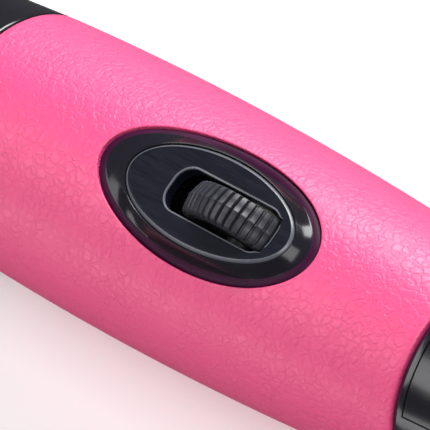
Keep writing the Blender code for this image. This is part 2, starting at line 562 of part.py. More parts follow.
def make_gears():
    sun_outline = gear_outline(SUN_TEETH, TOOTH_TOP, TOOTH_ROOT, BACKLASH)
    sun = prism("sun_gear", sun_outline, GEAR_BACK_X, GEAR_FRONT_X, BRASS, along="X")
    cut(sun, rod("sun_bore_cutter", (40, 0, 0), (70, 0, 0), MOTOR_SHAFT_R + 0.1))
    blank_r = MODULE * RING_TEETH / 2 - 1.8
    ring = turned("ring_gear", [(GEAR_BACK_X, blank_r), (GEAR_BACK_X, RING_R), (GEAR_FRONT_X, RING_R),
                                (GEAR_FRONT_X, blank_r)], WHITE)
    space = gear_outline(RING_TEETH, TOOTH_ROOT, RING_TOOTH_TOP, -BACKLASH, phase=math.pi / RING_TEETH)
    cut(ring, prism("ring_teeth_cutter", space, GEAR_BACK_X - 2, GEAR_FRONT_X + 2, along="X"))
    carrier = turned("drive_hub", [
        (CARRIER_BACK_X, 2.5), (CARRIER_BACK_X, CARRIER_R), (CARRIER_FRONT_X, CARRIER_R),
        (CARRIER_FRONT_X, HUB_R), (HUB_FRONT_X, HUB_R), (HUB_FRONT_X, HUB_BORE_R),
        (CARRIER_FRONT_X + 1, HUB_BORE_R), (CARRIER_FRONT_X + 1, 2.5)], GREY)
    for i in range(PLANETS):
        angle = TURN * i / PLANETS
        y, z = ORBIT * math.cos(angle), ORBIT * math.sin(angle)
        turn = angle + math.pi / PLANET_TEETH
        outline = [(y + a * math.cos(turn) - b * math.sin(turn), z + a * math.sin(turn) + b * math.cos(turn))
                   for a, b in gear_outline(PLANET_TEETH, TOOTH_TOP, TOOTH_ROOT, BACKLASH)]
        planet = prism(f"planet_gear_{i + 1}", outline, GEAR_BACK_X, GEAR_FRONT_X, WHITE, along="X")
        bore_r, seat_end = PLANET_PIN_R + RUNNING, (PIN_SEAT_X + 0.2, y, z)
        cut(planet, rod(f"planet_bore_{i + 1}_cutter", (40, y, z), (70, y, z), bore_r, sides=12))
        cut(carrier, rod(f"pin_hole_{i + 1}_cutter", (50, y, z), seat_end, PLANET_PIN_R + 0.1, sides=12))
        rod(f"planet_pin_{i + 1}", (GEAR_BACK_X - 0.6, y, z), (PIN_SEAT_X, y, z), PLANET_PIN_R, STEEL, 12)


def make_slip_rings():
    for x, word in zip(SLIP_RING_X, ("back", "front")):
        turned(f"slip_ring_{word}", [(x, HUB_R + 0.1), (x, SLIP_RING_R), (x + SLIP_RING_WIDTH, SLIP_RING_R),
                                     (x + SLIP_RING_WIDTH, HUB_R + 0.1)], COPPER)
        box(f"contact_brush_{word}", (x + GAP, x + SLIP_RING_WIDTH - GAP), (-BRUSH_HALF_Y, BRUSH_HALF_Y),
            (SLIP_RING_R + 0.1, BRUSH_TOP), BRASS)
    turned("hub_bearing", [(BEARING_BACK_X + 0.4, HUB_R + RUNNING), (BEARING_BACK_X + 0.4, BEARING_R),
                           (BEARING_FRONT_X, BEARING_R), (BEARING_FRONT_X, HUB_R + RUNNING)], BRASS)


# ---- barrel ------------------------------------------------------------------------------------------

def make_barrel():
    base = turned("barrel_base", [
        (BASE_BACK_X, HUB_R + 0.15), (BASE_BACK_X, BASE_R - 0.6), (BASE_BACK_X + 0.6, BASE_R),
        (BASE_FRONT_X, BASE_R), (BASE_FRONT_X, HUB_R + 0.15)], SATIN_BLACK)
    for side, word in ((1, "left"), (-1, "right")):
        lug = [(CLAMP_PIN_X - 3.4, 9.5), (CLAMP_PIN_X + 1.0, 9.5)]
        lug += arc(CLAMP_PIN_X, CLAMP_PIN_Z, LUG_R, -10, 190, 8)
        join(base, prism(f"lug_{word}", lug, *sorted(side * y for y in LUG_Y), along="Y"))
    right, left = (CLAMP_PIN_X, -20, CLAMP_PIN_Z), (CLAMP_PIN_X, 20, CLAMP_PIN_Z)
    cut(base, rod("lug_bore_cutter", right, left, CLAMP_PIN_R + 0.1))
    rod("clamp_pin", (CLAMP_PIN_X, -7.2, CLAMP_PIN_Z), (CLAMP_PIN_X, 7.2, CLAMP_PIN_Z), CLAMP_PIN_R, STEEL)
    tube_back = BASE_FRONT_X + GAP
    turned("barrel_tube", [(tube_back, BARREL_R - BARREL_WALL), (tube_back, BARREL_R),
                           (BARREL_FRONT_X, BARREL_R), (BARREL_FRONT_X, BARREL_R - BARREL_WALL)], BARREL_METAL)
    shield_x = tube_back + SHIELD_GAP
    turned("heat_shield", [(shield_x, SHIELD_BORE_R), (shield_x, HEATER_R), (shield_x + SHIELD_THICK, HEATER_R),
                           (shield_x + SHIELD_THICK, SHIELD_BORE_R)], MICA)
    for word, side in (("upper", 1), ("lower", -1)):
        block = [(y, side * z) for y, z in arc(0, 0, HEATER_R, 12, 168, 12)]
        prism(f"heater_block_{word}", block, *HEATER_X, ALUMINIUM, along="X")
    box("heater_plate", HEATER_PLATE_X, (-HEATER_PLATE_HALF_Y, HEATER_PLATE_HALF_Y),
        (-HEATER_PLATE_HALF_Z, HEATER_PLATE_HALF_Z), CERAMIC)
    rod("thermal_fuse", (FUSE_X[0], 0, FUSE_Z), (FUSE_X[1], 0, FUSE_Z), FUSE_R, BRASS, 12)
    tip_in = BARREL_FRONT_X + GAP
    tip = [(BARREL_FRONT_X - TIP_SPIGOT, 0), (BARREL_FRONT_X - TIP_SPIGOT, HEATER_R), (tip_in, HEATER_R),
           (tip_in, BARREL_R + 0.1)]
    side = zip(steps(tip_in + 2, TIP_FRONT_X - 5, 4), steps(0, 1, 4))
    tip += [(x, (BARREL_R + 0.1) - 0.9 * t**3) for x, t in side]
    tip += [(TIP_FRONT_X - 2, 10.2), (TIP_FRONT_X - 0.5, 7.4), (TIP_FRONT_X, TIP_FRONT_R), (TIP_FRONT_X, 0)]
    turned("cool_tip", tip, SATIN_BLACK)


def make_clamp():
    inner, outer = BARREL_R + GAP, BARREL_R + GAP + CLAMP_THICK
    stations = [(CLAMP_BACK_X, 0.34), (CLAMP_BACK_X + 5, 0.36), (CLAMP_BACK_X + 12, 0.80),
                (CLAMP_BACK_X + 22, 1.0), (CLAMP_FRONT_X - 14, 1.0), (CLAMP_FRONT_X - 5, 0.86),
                (CLAMP_FRONT_X - 1, 0.60), (CLAMP_FRONT_X, 0.36)]
    bm = bmesh.new()
    loops = []
    for x, share in stations:
        half = CLAMP_HALF_ANGLE * share
        angles = steps(-half, half, 10)
        ring = [(outer, a) for a in angles] + [(inner, a) for a in reversed(angles)]
        loops.append([bm.verts.new((x, r * math.sin(a), r * math.cos(a))) for r, a in ring])
    skin_loops(bm, loops)
    bm.faces.new(loops[0])
    bm.faces.new(loops[-1])
    spoon = place("clamp_spoon", bm, BARREL_METAL)
    rivet_x = CLAMP_BACK_X + 4
    cut(spoon, rod("rivet_hole_cutter", (rivet_x, 0, 5), (rivet_x, 0, 30), RIVET_HOLE_R, sides=12))
    top = outer + GAP
    side_view = [(CLAMP_BACK_X + 8, top), (CLAMP_BACK_X + 8, top + 1.2), (BASE_FRONT_X + 1, top + 2.4),
                 *arc(CLAMP_PIN_X, CLAMP_PIN_Z, KNUCKLE_R, -10, 75, 5), (CLAMP_PIN_X - 8, CLAMP_PIN_Z + 5.0),
                 (CLAMP_PIN_X - 17, CLAMP_PIN_Z + 8.4), (CLAMP_PIN_X - 17.2, CLAMP_PIN_Z + 6.4),
                 (CLAMP_PIN_X - 8, CLAMP_PIN_Z + 2.8), *arc(CLAMP_PIN_X, CLAMP_PIN_Z, KNUCKLE_R, 190, 270, 5),
                 (BASE_FRONT_X + 0.2, top + 1.0), (BASE_FRONT_X + 0.8, top)]
    lever = prism("clamp_lever", side_view, -KNUCKLE_HALF_Y, KNUCKLE_HALF_Y, SATIN_BLACK, along="Y")
    pad = [(CLAMP_PIN_X - 6.5, CLAMP_PIN_Z + 4.2), (CLAMP_PIN_X - 17, CLAMP_PIN_Z + 8.4),
           (CLAMP_PIN_X - 17.2, CLAMP_PIN_Z + 6.4), (CLAMP_PIN_X - 6.5, CLAMP_PIN_Z + 2.4)]
    join(lever, prism("thumb_pad", pad, -LEVER_WIDTH / 2, LEVER_WIDTH / 2, along="Y"))
    gap_x, gap_y = SPRING_GAP
    cut(lever, box("spring_gap_cutter", (CLAMP_PIN_X - gap_x, CLAMP_PIN_X + gap_x), (-gap_y, gap_y), (5, 30)),
        rod("lever_bore_cutter", (CLAMP_PIN_X, -20, CLAMP_PIN_Z), (CLAMP_PIN_X, 20, CLAMP_PIN_Z),
            CLAMP_PIN_R + RUNNING),
        rod("lever_rivet_hole_cutter", (rivet_x, 0, 5), (rivet_x, 0, 30), RIVET_HOLE_R, sides=12))
    rod("clamp_rivet", (rivet_x, 0, inner + 0.1), (rivet_x, 0, top + 2.6), RIVET_R, STEEL, 12,
        head=(RIVET_HEAD_R, RIVET_HEAD_HEIGHT))
    make_clamp_spring()


def make_clamp_spring():
    """A torsion spring wound round the clamp's pin."""
    turns, per_turn, wire_r, coil_r = 4, 10, 0.45, CLAMP_PIN_R + 0.75
    curve = bpy.data.curves.new("clamp_spring", "CURVE")
    curve.dimensions = "3D"
    curve.bevel_depth = wire_r * MM
    curve.bevel_resolution = 1
    curve.use_fill_caps = True
    count = turns * per_turn
    spline = curve.splines.new("POLY")
    spline.points.add(count)
    for i, point in enumerate(spline.points):
        angle = TURN * i / per_turn + math.pi / 2
        y = -2.2 + 4.4 * i / count
        x, z = CLAMP_PIN_X + coil_r * math.sin(angle), CLAMP_PIN_Z + coil_r * math.cos(angle)
        point.co = (x * MM, y * MM, z * MM, 1)
    spring = bpy.data.objects.new("clamp_spring", curve)
    bpy.context.scene.collection.objects.link(spring)
    curve.materials.append(STEEL)
    spring.parent = BODY


# ---- the curler --------------------------------------------------------------------------------------

clear_scene()
PINK = make_material("pink_grip", (0.85, 0.08, 0.26), 0.45)
GLOSS_BLACK = make_material("gloss_black", (0.012, 0.012, 0.018), 0.12)
SATIN_BLACK = make_material("satin_black", (0.016, 0.017, 0.024), 0.38)
WHEEL_BLACK = make_material("wheel_black", (0.03, 0.03, 0.035), 0.3)
RUBBER = make_material("rubber", (0.02, 0.02, 0.02), 0.7)
STEEL = make_material("steel", (0.6, 0.6, 0.62), 0.3, 1.0)
BRASS = make_material("brass", (0.75, 0.55, 0.25), 0.35, 1.0)
COPPER = make_material("copper", (0.75, 0.35, 0.2), 0.4, 1.0)
ALUMINIUM = make_material("aluminium", (0.75, 0.76, 0.78), 0.35, 1.0)
BARREL_METAL = make_material("barrel_coating", (0.09, 0.07, 0.09), 0.25, 1.0)
WHITE = make_material("white_plastic", (0.8, 0.8, 0.78), 0.5)
GREY = make_material("grey_plastic", (0.25, 0.25, 0.26), 0.5)
CERAMIC = make_material("ceramic", (0.85, 0.83, 0.78), 0.6)
MICA = make_material("mica", (0.6, 0.5, 0.35), 0.6)
BOARD_GREEN = make_material("board", (0.03, 0.2, 0.07), 0.5)
CAN_BLUE = make_material("capacitor_sleeve", (0.03, 0.05, 0.2), 0.4)
LENS = make_material("light_lens", (0.8, 0.25, 0.15), 0.2)

BODY = bpy.data.objects.new("curler_body", None)
bpy.context.scene.collection.objects.link(BODY)

make_grip()
make_window()
make_wheel()
make_tail()
make_board()
make_collar()
make_stand()
make_motor()
make_gears()
make_slip_rings()
make_barrel()
make_clamp()

apply_cuts()
BODY.location = (-(BOX_BACK_X + BOX_FRONT_X) / 2 * MM, 0, AXIS_HEIGHT * MM)
BODY.rotation_euler = (0, -PITCH, 0)

pivot("wheel_axis", WHEEL_X, 0, WHEEL_Z, "selector_wheel", "switch_arm")
pivot("button_axis", BUTTON_X, 0, 0, "power_button")
pivot("stand_axis", STAND_PIN_X, 0, STAND_PIN_Z, "stand_frame")
pivot("clamp_axis", CLAMP_PIN_X, 0, CLAMP_PIN_Z, "clamp_spoon", "clamp_lever", "clamp_rivet")
for number in range(1, PLANETS + 1):
    way = TURN * (number - 1) / PLANETS
    pivot(f"planet_axis_{number}", 0, ORBIT * math.cos(way), ORBIT * math.sin(way), f"planet_gear_{number}")
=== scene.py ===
"""The looks of a motor-driven hair curler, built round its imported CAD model.

Shapes are drawn in the curler's own directions, in millimetres: x along the barrel from the middle of the
oval window, z up through the thumb wheel, y across. TO_WORLD carries them into the model's frame.
"""

import json
import math

import bmesh
import bpy
from mathutils import Matrix, Vector


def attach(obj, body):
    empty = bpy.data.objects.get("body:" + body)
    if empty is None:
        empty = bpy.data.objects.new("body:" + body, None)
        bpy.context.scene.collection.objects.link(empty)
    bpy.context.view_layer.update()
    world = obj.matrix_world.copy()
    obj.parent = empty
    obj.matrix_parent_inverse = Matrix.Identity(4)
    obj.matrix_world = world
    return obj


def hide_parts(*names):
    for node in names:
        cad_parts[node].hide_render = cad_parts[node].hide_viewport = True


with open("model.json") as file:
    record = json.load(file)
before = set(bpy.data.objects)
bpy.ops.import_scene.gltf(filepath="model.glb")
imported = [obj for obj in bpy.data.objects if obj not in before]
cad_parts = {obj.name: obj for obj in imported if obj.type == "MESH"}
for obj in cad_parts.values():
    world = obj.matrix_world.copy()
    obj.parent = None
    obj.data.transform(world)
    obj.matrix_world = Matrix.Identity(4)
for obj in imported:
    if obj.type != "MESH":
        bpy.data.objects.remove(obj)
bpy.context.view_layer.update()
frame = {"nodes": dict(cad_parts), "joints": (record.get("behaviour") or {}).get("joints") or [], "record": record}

MM = 0.001
TURN = 2 * math.pi

# Grip, as in the CAD model
GRIP_R, GRIP_WIDEST_X, GRIP_BOW_R = 19.0, -20.0, 549.0
GRIP_BACK_X, GRIP_FRONT_X, GRIP_WALL = -47.6, 38.6, 2.0
SPLIT_Z, SPLIT_GAP = -5.0, 0.15
SCREW_X, SCREW_Y, SCREW_HOLE_R = (-38.0, 14.0), 12.2, 2.4

# Window, bezel and plate
WINDOW_A, WINDOW_B, WINDOW_LIP = 19.2, 9.5, 0.5
BEZEL_GAP, PLATE_GAP = 0.15, 0.12
PLATE_X, PLATE_A, PLATE_B, PLATE_TOP, PLATE_THICK = 0.5, 14.8, 7.0, 18.6, 2.0
SLOT_X, SLOT_LENGTH, SLOT_WIDTH, SLOT_CORNER = 2.95, 18.7, 6.8, 2.6

# Thumb wheel
WHEEL_X, WHEEL_Z, WHEEL_R, WHEEL_WIDTH = 4.4, 12.0, 9.9, 5.1
WHEEL_RIBS, WHEEL_BORE_R = 46, 1.42

# Tail, collar and barrel
TAIL_BACK_X, TAIL_END_R = -104.0, 8.8
SPIGOT_GAP = 0.3  # between the grip's wall and the spigots of tail and collar
BUTTON_X, BUTTON_R, LIGHT_X, LIGHT_R = -66.0, 4.5, -56.5, 1.2
SWIVEL_END_X, SWIVEL_BORE_R, SWIVEL_NECK_R = -111.0, 3.6, 6.5
COLLAR_FRONT_X, COLLAR_FRONT_R, COLLAR_BORE_R = 84.0, 14.7, 12.7
COVER_HALF_ANGLE, COVER_BACK_X, COVER_FRONT_X, COVER_THICK = math.radians(47), 40.4, 74.0, 1.0
HUB_R, HUB_GAP = 8.6, 0.15
BASE_BACK_X, BASE_FRONT_X, BASE_R = 84.6, 98.0, 14.2
BARREL_BACK_X, BARREL_FRONT_X, BARREL_R = 98.3, 215.0, 12.5
TIP_BACK_X, TIP_FRONT_X, TIP_R = 215.3, 233.0, 12.6
CLAMP_PIN_X, CLAMP_PIN_Z, CLAMP_PIN_R = 94.0, 18.0, 1.2
CLAMP_BACK_X, CLAMP_FRONT_X, CLAMP_HALF_ANGLE, CLAMP_THICK = 103.0, 211.0, math.radians(50), 1.0
STAND_PIN_X, STAND_PIN_Z, STAND_ARM_Y, STAND_ARM_THICK = 62.0, -6.0, 15.2, 2.0
FOOT_BACK_X, FOOT_FRONT_X, FOOT_HEIGHT, FOOT_HALF_Y = 64.5, 71.0, 2.6, 19.0

# The curler's own directions and origin, from the frame's joints
JOINTS = {joint["name"]: joint for joint in frame["joints"]}
AXIS = Vector(JOINTS["barrel_spin"]["axis"]).normalized()
SIDE = Vector((0, 1, 0))
UP = AXIS.cross(SIDE)
WHEEL_CENTRE = Vector(JOINTS["selector_tilt"]["pos_m"])
ORIGIN = WHEEL_CENTRE - AXIS * WHEEL_X * MM - UP * WHEEL_Z * MM
TO_WORLD = Matrix.Translation(ORIGIN) @ Matrix((AXIS, SIDE, UP)).transposed().to_4x4() @ Matrix.Scale(MM, 4)


# ---- shape rules ----

CORNER_STEPS = 4  # segments of a rounded corner


def steps(low, high, count):
    return [low + (high - low) * i / count for i in range(count + 1)]


def hermite(x, start, end):
    """A cubic from start to end, each (x, value, slope)."""
    (x0, v0, s0), (x1, v1, s1) = start, end
    span = x1 - x0
    t = (x - x0) / span
    return ((2 * t**3 - 3 * t**2 + 1) * v0 + (t**3 - 2 * t**2 + t) * span * s0
            + (3 * t**2 - 2 * t**3) * v1 + (t**3 - t**2) * span * s1)


def grip_radius(x):
    return GRIP_R - (x - GRIP_WIDEST_X) ** 2 / (2 * GRIP_BOW_R)


def grip_slope(x):
    return -(x - GRIP_WIDEST_X) / GRIP_BOW_R


def collar_radius(x):
    return hermite(x, (GRIP_FRONT_X, grip_radius(GRIP_FRONT_X), grip_slope(GRIP_FRONT_X)),
                   (COLLAR_FRONT_X, COLLAR_FRONT_R, -0.01))


def tail_radius(x):
    return hermite(x, (TAIL_BACK_X, TAIL_END_R, 0.42), (GRIP_BACK_X, grip_radius(GRIP_BACK_X), 0.08))


def arc(cx, cy, radius, start, end, count):
    """Points on an arc, with its angles in degrees."""
    return [(cx + radius * math.cos(math.radians(a)), cy + radius * math.sin(math.radians(a)))
            for a in steps(start, end, count)]


def eased(outline):
    """Rounds an open outline's corners. Each point is (a, b) or (a, b, reach of the rounding)."""
    points = []
    last = len(outline) - 1
    for i, corner in enumerate(outline):
        here = Vector(corner[:2])
        if len(corner) < 3 or i in (0, last):
            points.append(tuple(here))
            continue
        before, after = Vector(outline[i - 1][:2]) - here, Vector(outline[i + 1][:2]) - here
        reach = min(corner[2], before.length * 0.49, after.length * 0.49)
        start, end = here + before.normalized() * reach, here + after.normalized() * reach
        for t in steps(0, 1, CORNER_STEPS):
            points.append(tuple((1 - t) ** 2 * start + 2 * t * (1 - t) * here + t**2 * end))
    return points


# ---- mesh tools ----

SAME_POINT = 1e-4  # points closer than this, in millimetres, are one


def round_edges(obj, width, segments, angle):
    """Rounds an object's edges that turn by more than an angle in degrees."""
    modifier = obj.modifiers.new("rounding", "BEVEL")
    modifier.width, modifier.segments = width * MM, segments
    modifier.limit_method, modifier.angle_limit = "ANGLE", math.radians(angle)


def place(name, bm, material, body, replaces=(), sharp=40, bevel=None):
    """A finished piece from a bmesh in millimetres. bevel is the (width, segments) of rounded edges.

    Without a material the object is a hidden cutter.
    """
    bmesh.ops.remove_doubles(bm, verts=bm.verts, dist=SAME_POINT)
    bmesh.ops.recalc_face_normals(bm, faces=bm.faces)
    bm.transform(TO_WORLD)
    mesh = bpy.data.meshes.new(name)
    bm.to_mesh(mesh)
    bm.free()
    mesh.shade_smooth()
    mesh.set_sharp_from_angle(angle=math.radians(sharp))
    obj = bpy.data.objects.new(name, mesh)
    bpy.context.scene.collection.objects.link(obj)
    if material is None:
        obj.hide_render = True
        obj.hide_viewport = True
        return obj
    mesh.materials.append(material)
    if bevel:
        round_edges(obj, *bevel, sharp)
    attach(obj, body)
    if replaces:
        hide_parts(*replaces)
    return obj


def skin(bm, loops, closed_loops=True, closed_stack=False):
    """Quads between each loop of vertices and the next."""
    pairs = list(zip(loops, loops[1:]))
    if closed_stack:
        pairs.append((loops[-1], loops[0]))
    for one, two in pairs:
        last = len(one) if closed_loops else len(one) - 1
        for i in range(last):
            j = (i + 1) % len(one)
            bm.faces.new((one[i], one[j], two[j], two[i]))


def loft(bm, loops, closed_stack=False):
    """A closed skin through loops of points, which ends in caps or comes back to the first loop."""
    made = [[bm.verts.new(point) for point in loop] for loop in loops]
    skin(bm, made, closed_stack=closed_stack)
    if not closed_stack:
        bm.faces.new(made[0])
        bm.faces.new(made[-1])
    return bm


def turned(outline, sides=96):
    """A bmesh of an (x, radius) outline turned about a line along X. It closes itself off the axis."""
    bm = bmesh.new()
    angles = [TURN * i / sides for i in range(sides)]
    loops = [[bm.verts.new((x, r * math.sin(a), r * math.cos(a))) for a in angles]
             for x, r in outline]
    open_ends = outline[0][1] > SAME_POINT
    skin(bm, loops, closed_stack=open_ends)
    return bm


def rod(start, end, radius, sides=24, ease=0.15):
    """A bmesh of a round bar between two points, with its ends rounded off by ease."""
    start, end = Vector(start), Vector(end)
    way = (end - start).normalized()
    side = way.orthogonal().normalized()
    other = way.cross(side)
    length = (end - start).length
    bm = bmesh.new()
    rings = [(0, radius - ease), (ease * 0.3, radius - ease * 0.3), (ease, radius),
             (length - ease, radius), (length - ease * 0.3, radius - ease * 0.3), (length, radius - ease)]
    spokes = [side * math.cos(TURN * i / sides) + other * math.sin(TURN * i / sides) for i in range(sides)]
    return loft(bm, [[start + way * along + spoke * r for spoke in spokes] for along, r in rings])


def prism(outline, low, high, along="Y"):
    """A bmesh of a flat outline pushed from low to high: (x, z) outlines along Y, (x, y) ones along Z."""
    if along == "Y":
        return loft(bmesh.new(), [[(a, c, b) for a, b in outline] for c in (low, high)])
    return loft(bmesh.new(), [[(a, b, c) for a, b in outline] for c in (low, high)])


def pin_hole(x, z, radius):
    """A cutter for a hole across the curler, along Y."""
    return rod((x, -30, z), (x, 30, z), radius, 32, 0)


def rectangle(x, y, half_x, half_y):
    return [(x + sx * half_x, y + sy * half_y) for sx, sy in ((-1, -1), (1, -1), (1, 1), (-1, 1))]


def boolean(obj, other, operation="DIFFERENCE"):
    modifier = obj.modifiers.new(operation.lower(), "BOOLEAN")
    modifier.operation, modifier.object = operation, other
    return obj


def apply_modifiers(obj, sharp=40):
    """Keeps the shape that an object's modifiers give it, and removes the cutters they used."""
    cutters = [m.object for m in obj.modifiers if m.type == "BOOLEAN"]
    for cutter in cutters:
        cutter.hide_viewport = False
    bpy.context.view_layer.update()
    mesh = bpy.data.meshes.new_from_object(obj.evaluated_get(bpy.context.evaluated_depsgraph_get()))
    obj.modifiers.clear()
    obj.data = mesh
    mesh.shade_smooth()
    mesh.set_sharp_from_angle(angle=math.radians(sharp))
    for cutter in cutters:
        bpy.data.objects.remove(cutter)
    return obj


def cut(obj, *cutters, operation="DIFFERENCE", sharp=40):
    for i, bm in enumerate(cutters):
        boolean(obj, place(f"{obj.name}_cutter_{i}", bm, None, None), operation)
    return apply_modifiers(obj, sharp)


# ---- materials ----

# The second pink is darker: painted shade for the creases of the leather grain.
PINK_COLOUR, PINK_PAINTED_CREASE_SHADE = (0.81, 0.074, 0.225), (0.55, 0.02, 0.10)


class Finish:
    """A Principled material with a few node helpers. Coordinates are the piece's own, in metres."""

    def __init__(self, name, colour, roughness, metallic=0.0, **sockets):
        self.material = bpy.data.materials.new(name)
        self.material.use_nodes = True
        self.tree = self.material.node_tree
        self.shader = self.tree.nodes["Principled BSDF"]
        self.shader.inputs["Base Color"].default_value = (*colour, 1)
        self.shader.inputs["Roughness"].default_value = roughness
        self.shader.inputs["Metallic"].default_value = metallic
        for socket, value in sockets.items():
            self.shader.inputs[socket.replace("_", " ")].default_value = value
        self.coords = self.tree.nodes.new("ShaderNodeTexCoord").outputs["Object"]

    def node(self, kind, inputs=None, **settings):
        node = self.tree.nodes.new(kind)
        for key, value in settings.items():
            setattr(node, key, value)
        for key, value in (inputs or {}).items():
            if isinstance(value, bpy.types.NodeSocket):
                self.tree.links.new(value, node.inputs[key])
            else:
                node.inputs[key].default_value = value
        return node

    def stretched(self, scale):
        """The piece's coordinates scaled unevenly, for grain that runs one way."""
        return self.node("ShaderNodeMapping", {"Vector": self.coords, "Scale": scale}).outputs[0]

    def noise(self, scale, detail=3.0, coords=None, distortion=0.0):
        inputs = {"Vector": coords or self.coords, "Scale": scale, "Detail": detail, "Distortion": distortion}
        return self.node("ShaderNodeTexNoise", inputs).outputs["Fac"]

    def ramp(self, value, low, high, to_low=0.0, to_high=1.0, kind="LINEAR"):
        inputs = {"Value": value, "From Min": low, "From Max": high, "To Min": to_low, "To Max": to_high}
        return self.node("ShaderNodeMapRange", inputs, interpolation_type=kind).outputs[0]

    def math(self, operation, a, b=0.0):
        return self.node("ShaderNodeMath", {0: a, 1: b}, operation=operation).outputs[0]

    def mix(self, share, one, two):
        """A colour between one and two."""
        factor, low_colour, high_colour, result = 0, 6, 7, 2  # sockets of the mix node for colours
        node = self.tree.nodes.new("ShaderNodeMix")
        node.data_type = "RGBA"
        self.tree.links.new(share, node.inputs[factor])
        node.inputs[low_colour].default_value = (*one, 1)
        node.inputs[high_colour].default_value = (*two, 1)
        return node.outputs[result]

    def colour(self, socket):
        self.tree.links.new(socket, self.shader.inputs["Base Color"])
        return self

    def tint(self, value, low, high, one, two):
        """Colours the piece from one to two as the value goes from low to high."""
        return self.colour(self.mix(self.ramp(value, low, high), one, two))

    def roughness(self, socket):
        self.tree.links.new(socket, self.shader.inputs["Roughness"])
        return self

    def bump(self, height, depth_mm, strength=1.0):
        """Adds a relief of depth_mm where the height goes from 0 to 1, on top of any before it."""
        inputs = {"Height": height, "Distance": depth_mm * MM, "Strength": strength}
        if self.shader.inputs["Normal"].is_linked:
            inputs["Normal"] = self.shader.inputs["Normal"].links[0].from_socket
        node = self.node("ShaderNodeBump", inputs)
        self.tree.links.new(node.outputs[0], self.shader.inputs["Normal"])
        return self


def leather_plastic():
    """Pink plastic moulded with a leather grain: soft pebbles parted by wandering creases, and fine pores. The
    creases are darkened a little as painted shade.
    """
    finish = Finish("pink_leather_grain", PINK_COLOUR, 0.44, Coat_Weight=0.18, Coat_Roughness=0.34)

    def creases(cell_mm, warp_mm, width, warp_scale):
        vector_math = "ShaderNodeVectorMath"
        wander = {"Vector": finish.coords, "Scale": warp_scale, "Detail": 3.0}
        warp = finish.node("ShaderNodeTexNoise", wander).outputs["Color"]
        shift = finish.node(vector_math, {0: warp, 1: (0.5, 0.5, 0.5)}, operation="SUBTRACT").outputs[0]
        push = finish.node(vector_math, {0: shift, "Scale": warp_mm * MM}, operation="SCALE").outputs[0]
        bent = finish.node(vector_math, {0: finish.coords, 1: push}, operation="ADD").outputs[0]
        cells = {"Vector": bent, "Scale": 1 / (cell_mm * MM), "Randomness": 1.0}
        edge = finish.node("ShaderNodeTexVoronoi", cells, feature="DISTANCE_TO_EDGE")
        return finish.ramp(edge.outputs["Distance"], 0.0, width, kind="SMOOTHSTEP")

    coarse, fine = creases(1.35, 2.2, 0.22, 520.0), creases(0.75, 1.2, 0.20, 900.0)
    patchy = finish.ramp(finish.noise(300.0, 2.0), 0.35, 0.62, 0.0, 1.0)
    uneven = finish.ramp(finish.noise(210.0, 2.0), 0.3, 0.6, 0.45, 1.0)
    deep = finish.math("MULTIPLY", finish.math("SUBTRACT", 1.0, coarse), uneven)
    slight = finish.math("MULTIPLY", finish.math("SUBTRACT", 1.0, fine), patchy)
    groove = finish.math("ADD", deep, finish.math("MULTIPLY", slight, 0.35))
    finish.bump(finish.math("SUBTRACT", 1.0, groove), 0.07, 0.9)
    finish.bump(finish.noise(5200.0, 2.0), 0.006, 0.6)
    # Painted shade: the creases' colour is darkened towards the darker pink.
    finish.colour(finish.mix(finish.ramp(groove, 0.1, 1.0, 0.0, 0.10), PINK_COLOUR, PINK_PAINTED_CREASE_SHADE))
    finish.roughness(finish.ramp(groove, 0.0, 1.0, 0.40, 0.52))
    return finish.material


def gloss_black(name, specular):
    """Polished black plastic with moulding ripple, faint swirl scratches and a little dust."""
    black, dust = (0.012, 0.011, 0.016), (0.018, 0.017, 0.023)
    finish = Finish(name, black, 0.2, Specular_IOR_Level=specular)
    finish.bump(finish.noise(90.0, 1.0), 0.008, 0.5)
    scratch = finish.noise(900.0, 4.0, finish.stretched((0.12, 1.0, 1.0)), distortion=0.4)
    finish.roughness(finish.ramp(scratch, 0.5, 0.8, 0.16, 0.24))
    finish.tint(finish.noise(2600.0, 1.0), 0.72, 0.8, black, dust)
    return finish.material


def painted_pink_reflection():
    """A painted reflection of the pink grip, in plum, on the rounded edges of the black trims."""
    finish = Finish("painted_pink_reflection", (0.038, 0.002, 0.025), 0.48, Specular_IOR_Level=0.12)
    finish.bump(finish.noise(120.0, 1.0), 0.008, 0.5)
    finish.tint(finish.noise(300.0, 3.0), 0.35, 0.7, (0.042, 0.003, 0.028), (0.028, 0.002, 0.019))
    return finish.material


def satin_black(name="satin_black", colour=(0.020, 0.021, 0.028), roughness=0.36, grain=1.0):
    """Fine spark-eroded moulded plastic."""
    finish = Finish(name, colour, roughness)
    finish.bump(finish.noise(6200.0, 3.0), 0.008 * grain, 0.7)
    finish.roughness(finish.ramp(finish.noise(160.0, 4.0), 0.3, 0.7, roughness - 0.05, roughness + 0.07))
    finish.tint(finish.noise(420.0, 5.0), 0.62, 0.8, colour, tuple(c * 1.5 + 0.004 for c in colour))
    return finish.material


def brushed_plate():
    """Blue-black satin plate with fine lines along the curler."""
    finish = Finish("brushed_plate", (0.006, 0.0065, 0.012), 0.36, Specular_IOR_Level=0.25)
    lines = finish.noise(3200.0, 3.0, finish.stretched((0.03, 1.0, 1.0)))
    finish.bump(lines, 0.004, 0.6)
    finish.roughness(finish.ramp(lines, 0.3, 0.7, 0.28, 0.42))
    tone = finish.noise(700.0, 4.0, finish.stretched((0.15, 1.0, 1.0)))
    finish.tint(tone, 0.3, 0.7, (0.0045, 0.005, 0.010), (0.0085, 0.0095, 0.017))
    return finish.material


def wheel_plastic():
    """Dark grey plastic, dulled in patches where a thumb rubs it."""
    finish = Finish("wheel_plastic", (0.030, 0.030, 0.040), 0.42, Specular_IOR_Level=0.4)
    finish.bump(finish.noise(2600.0, 3.0), 0.003, 0.5)
    finish.roughness(finish.ramp(finish.noise(900.0, 5.0), 0.35, 0.7, 0.38, 0.5))
    finish.tint(finish.noise(1500.0, 4.0), 0.5, 0.75, (0.026, 0.026, 0.035), (0.046, 0.046, 0.058))
    return finish.material


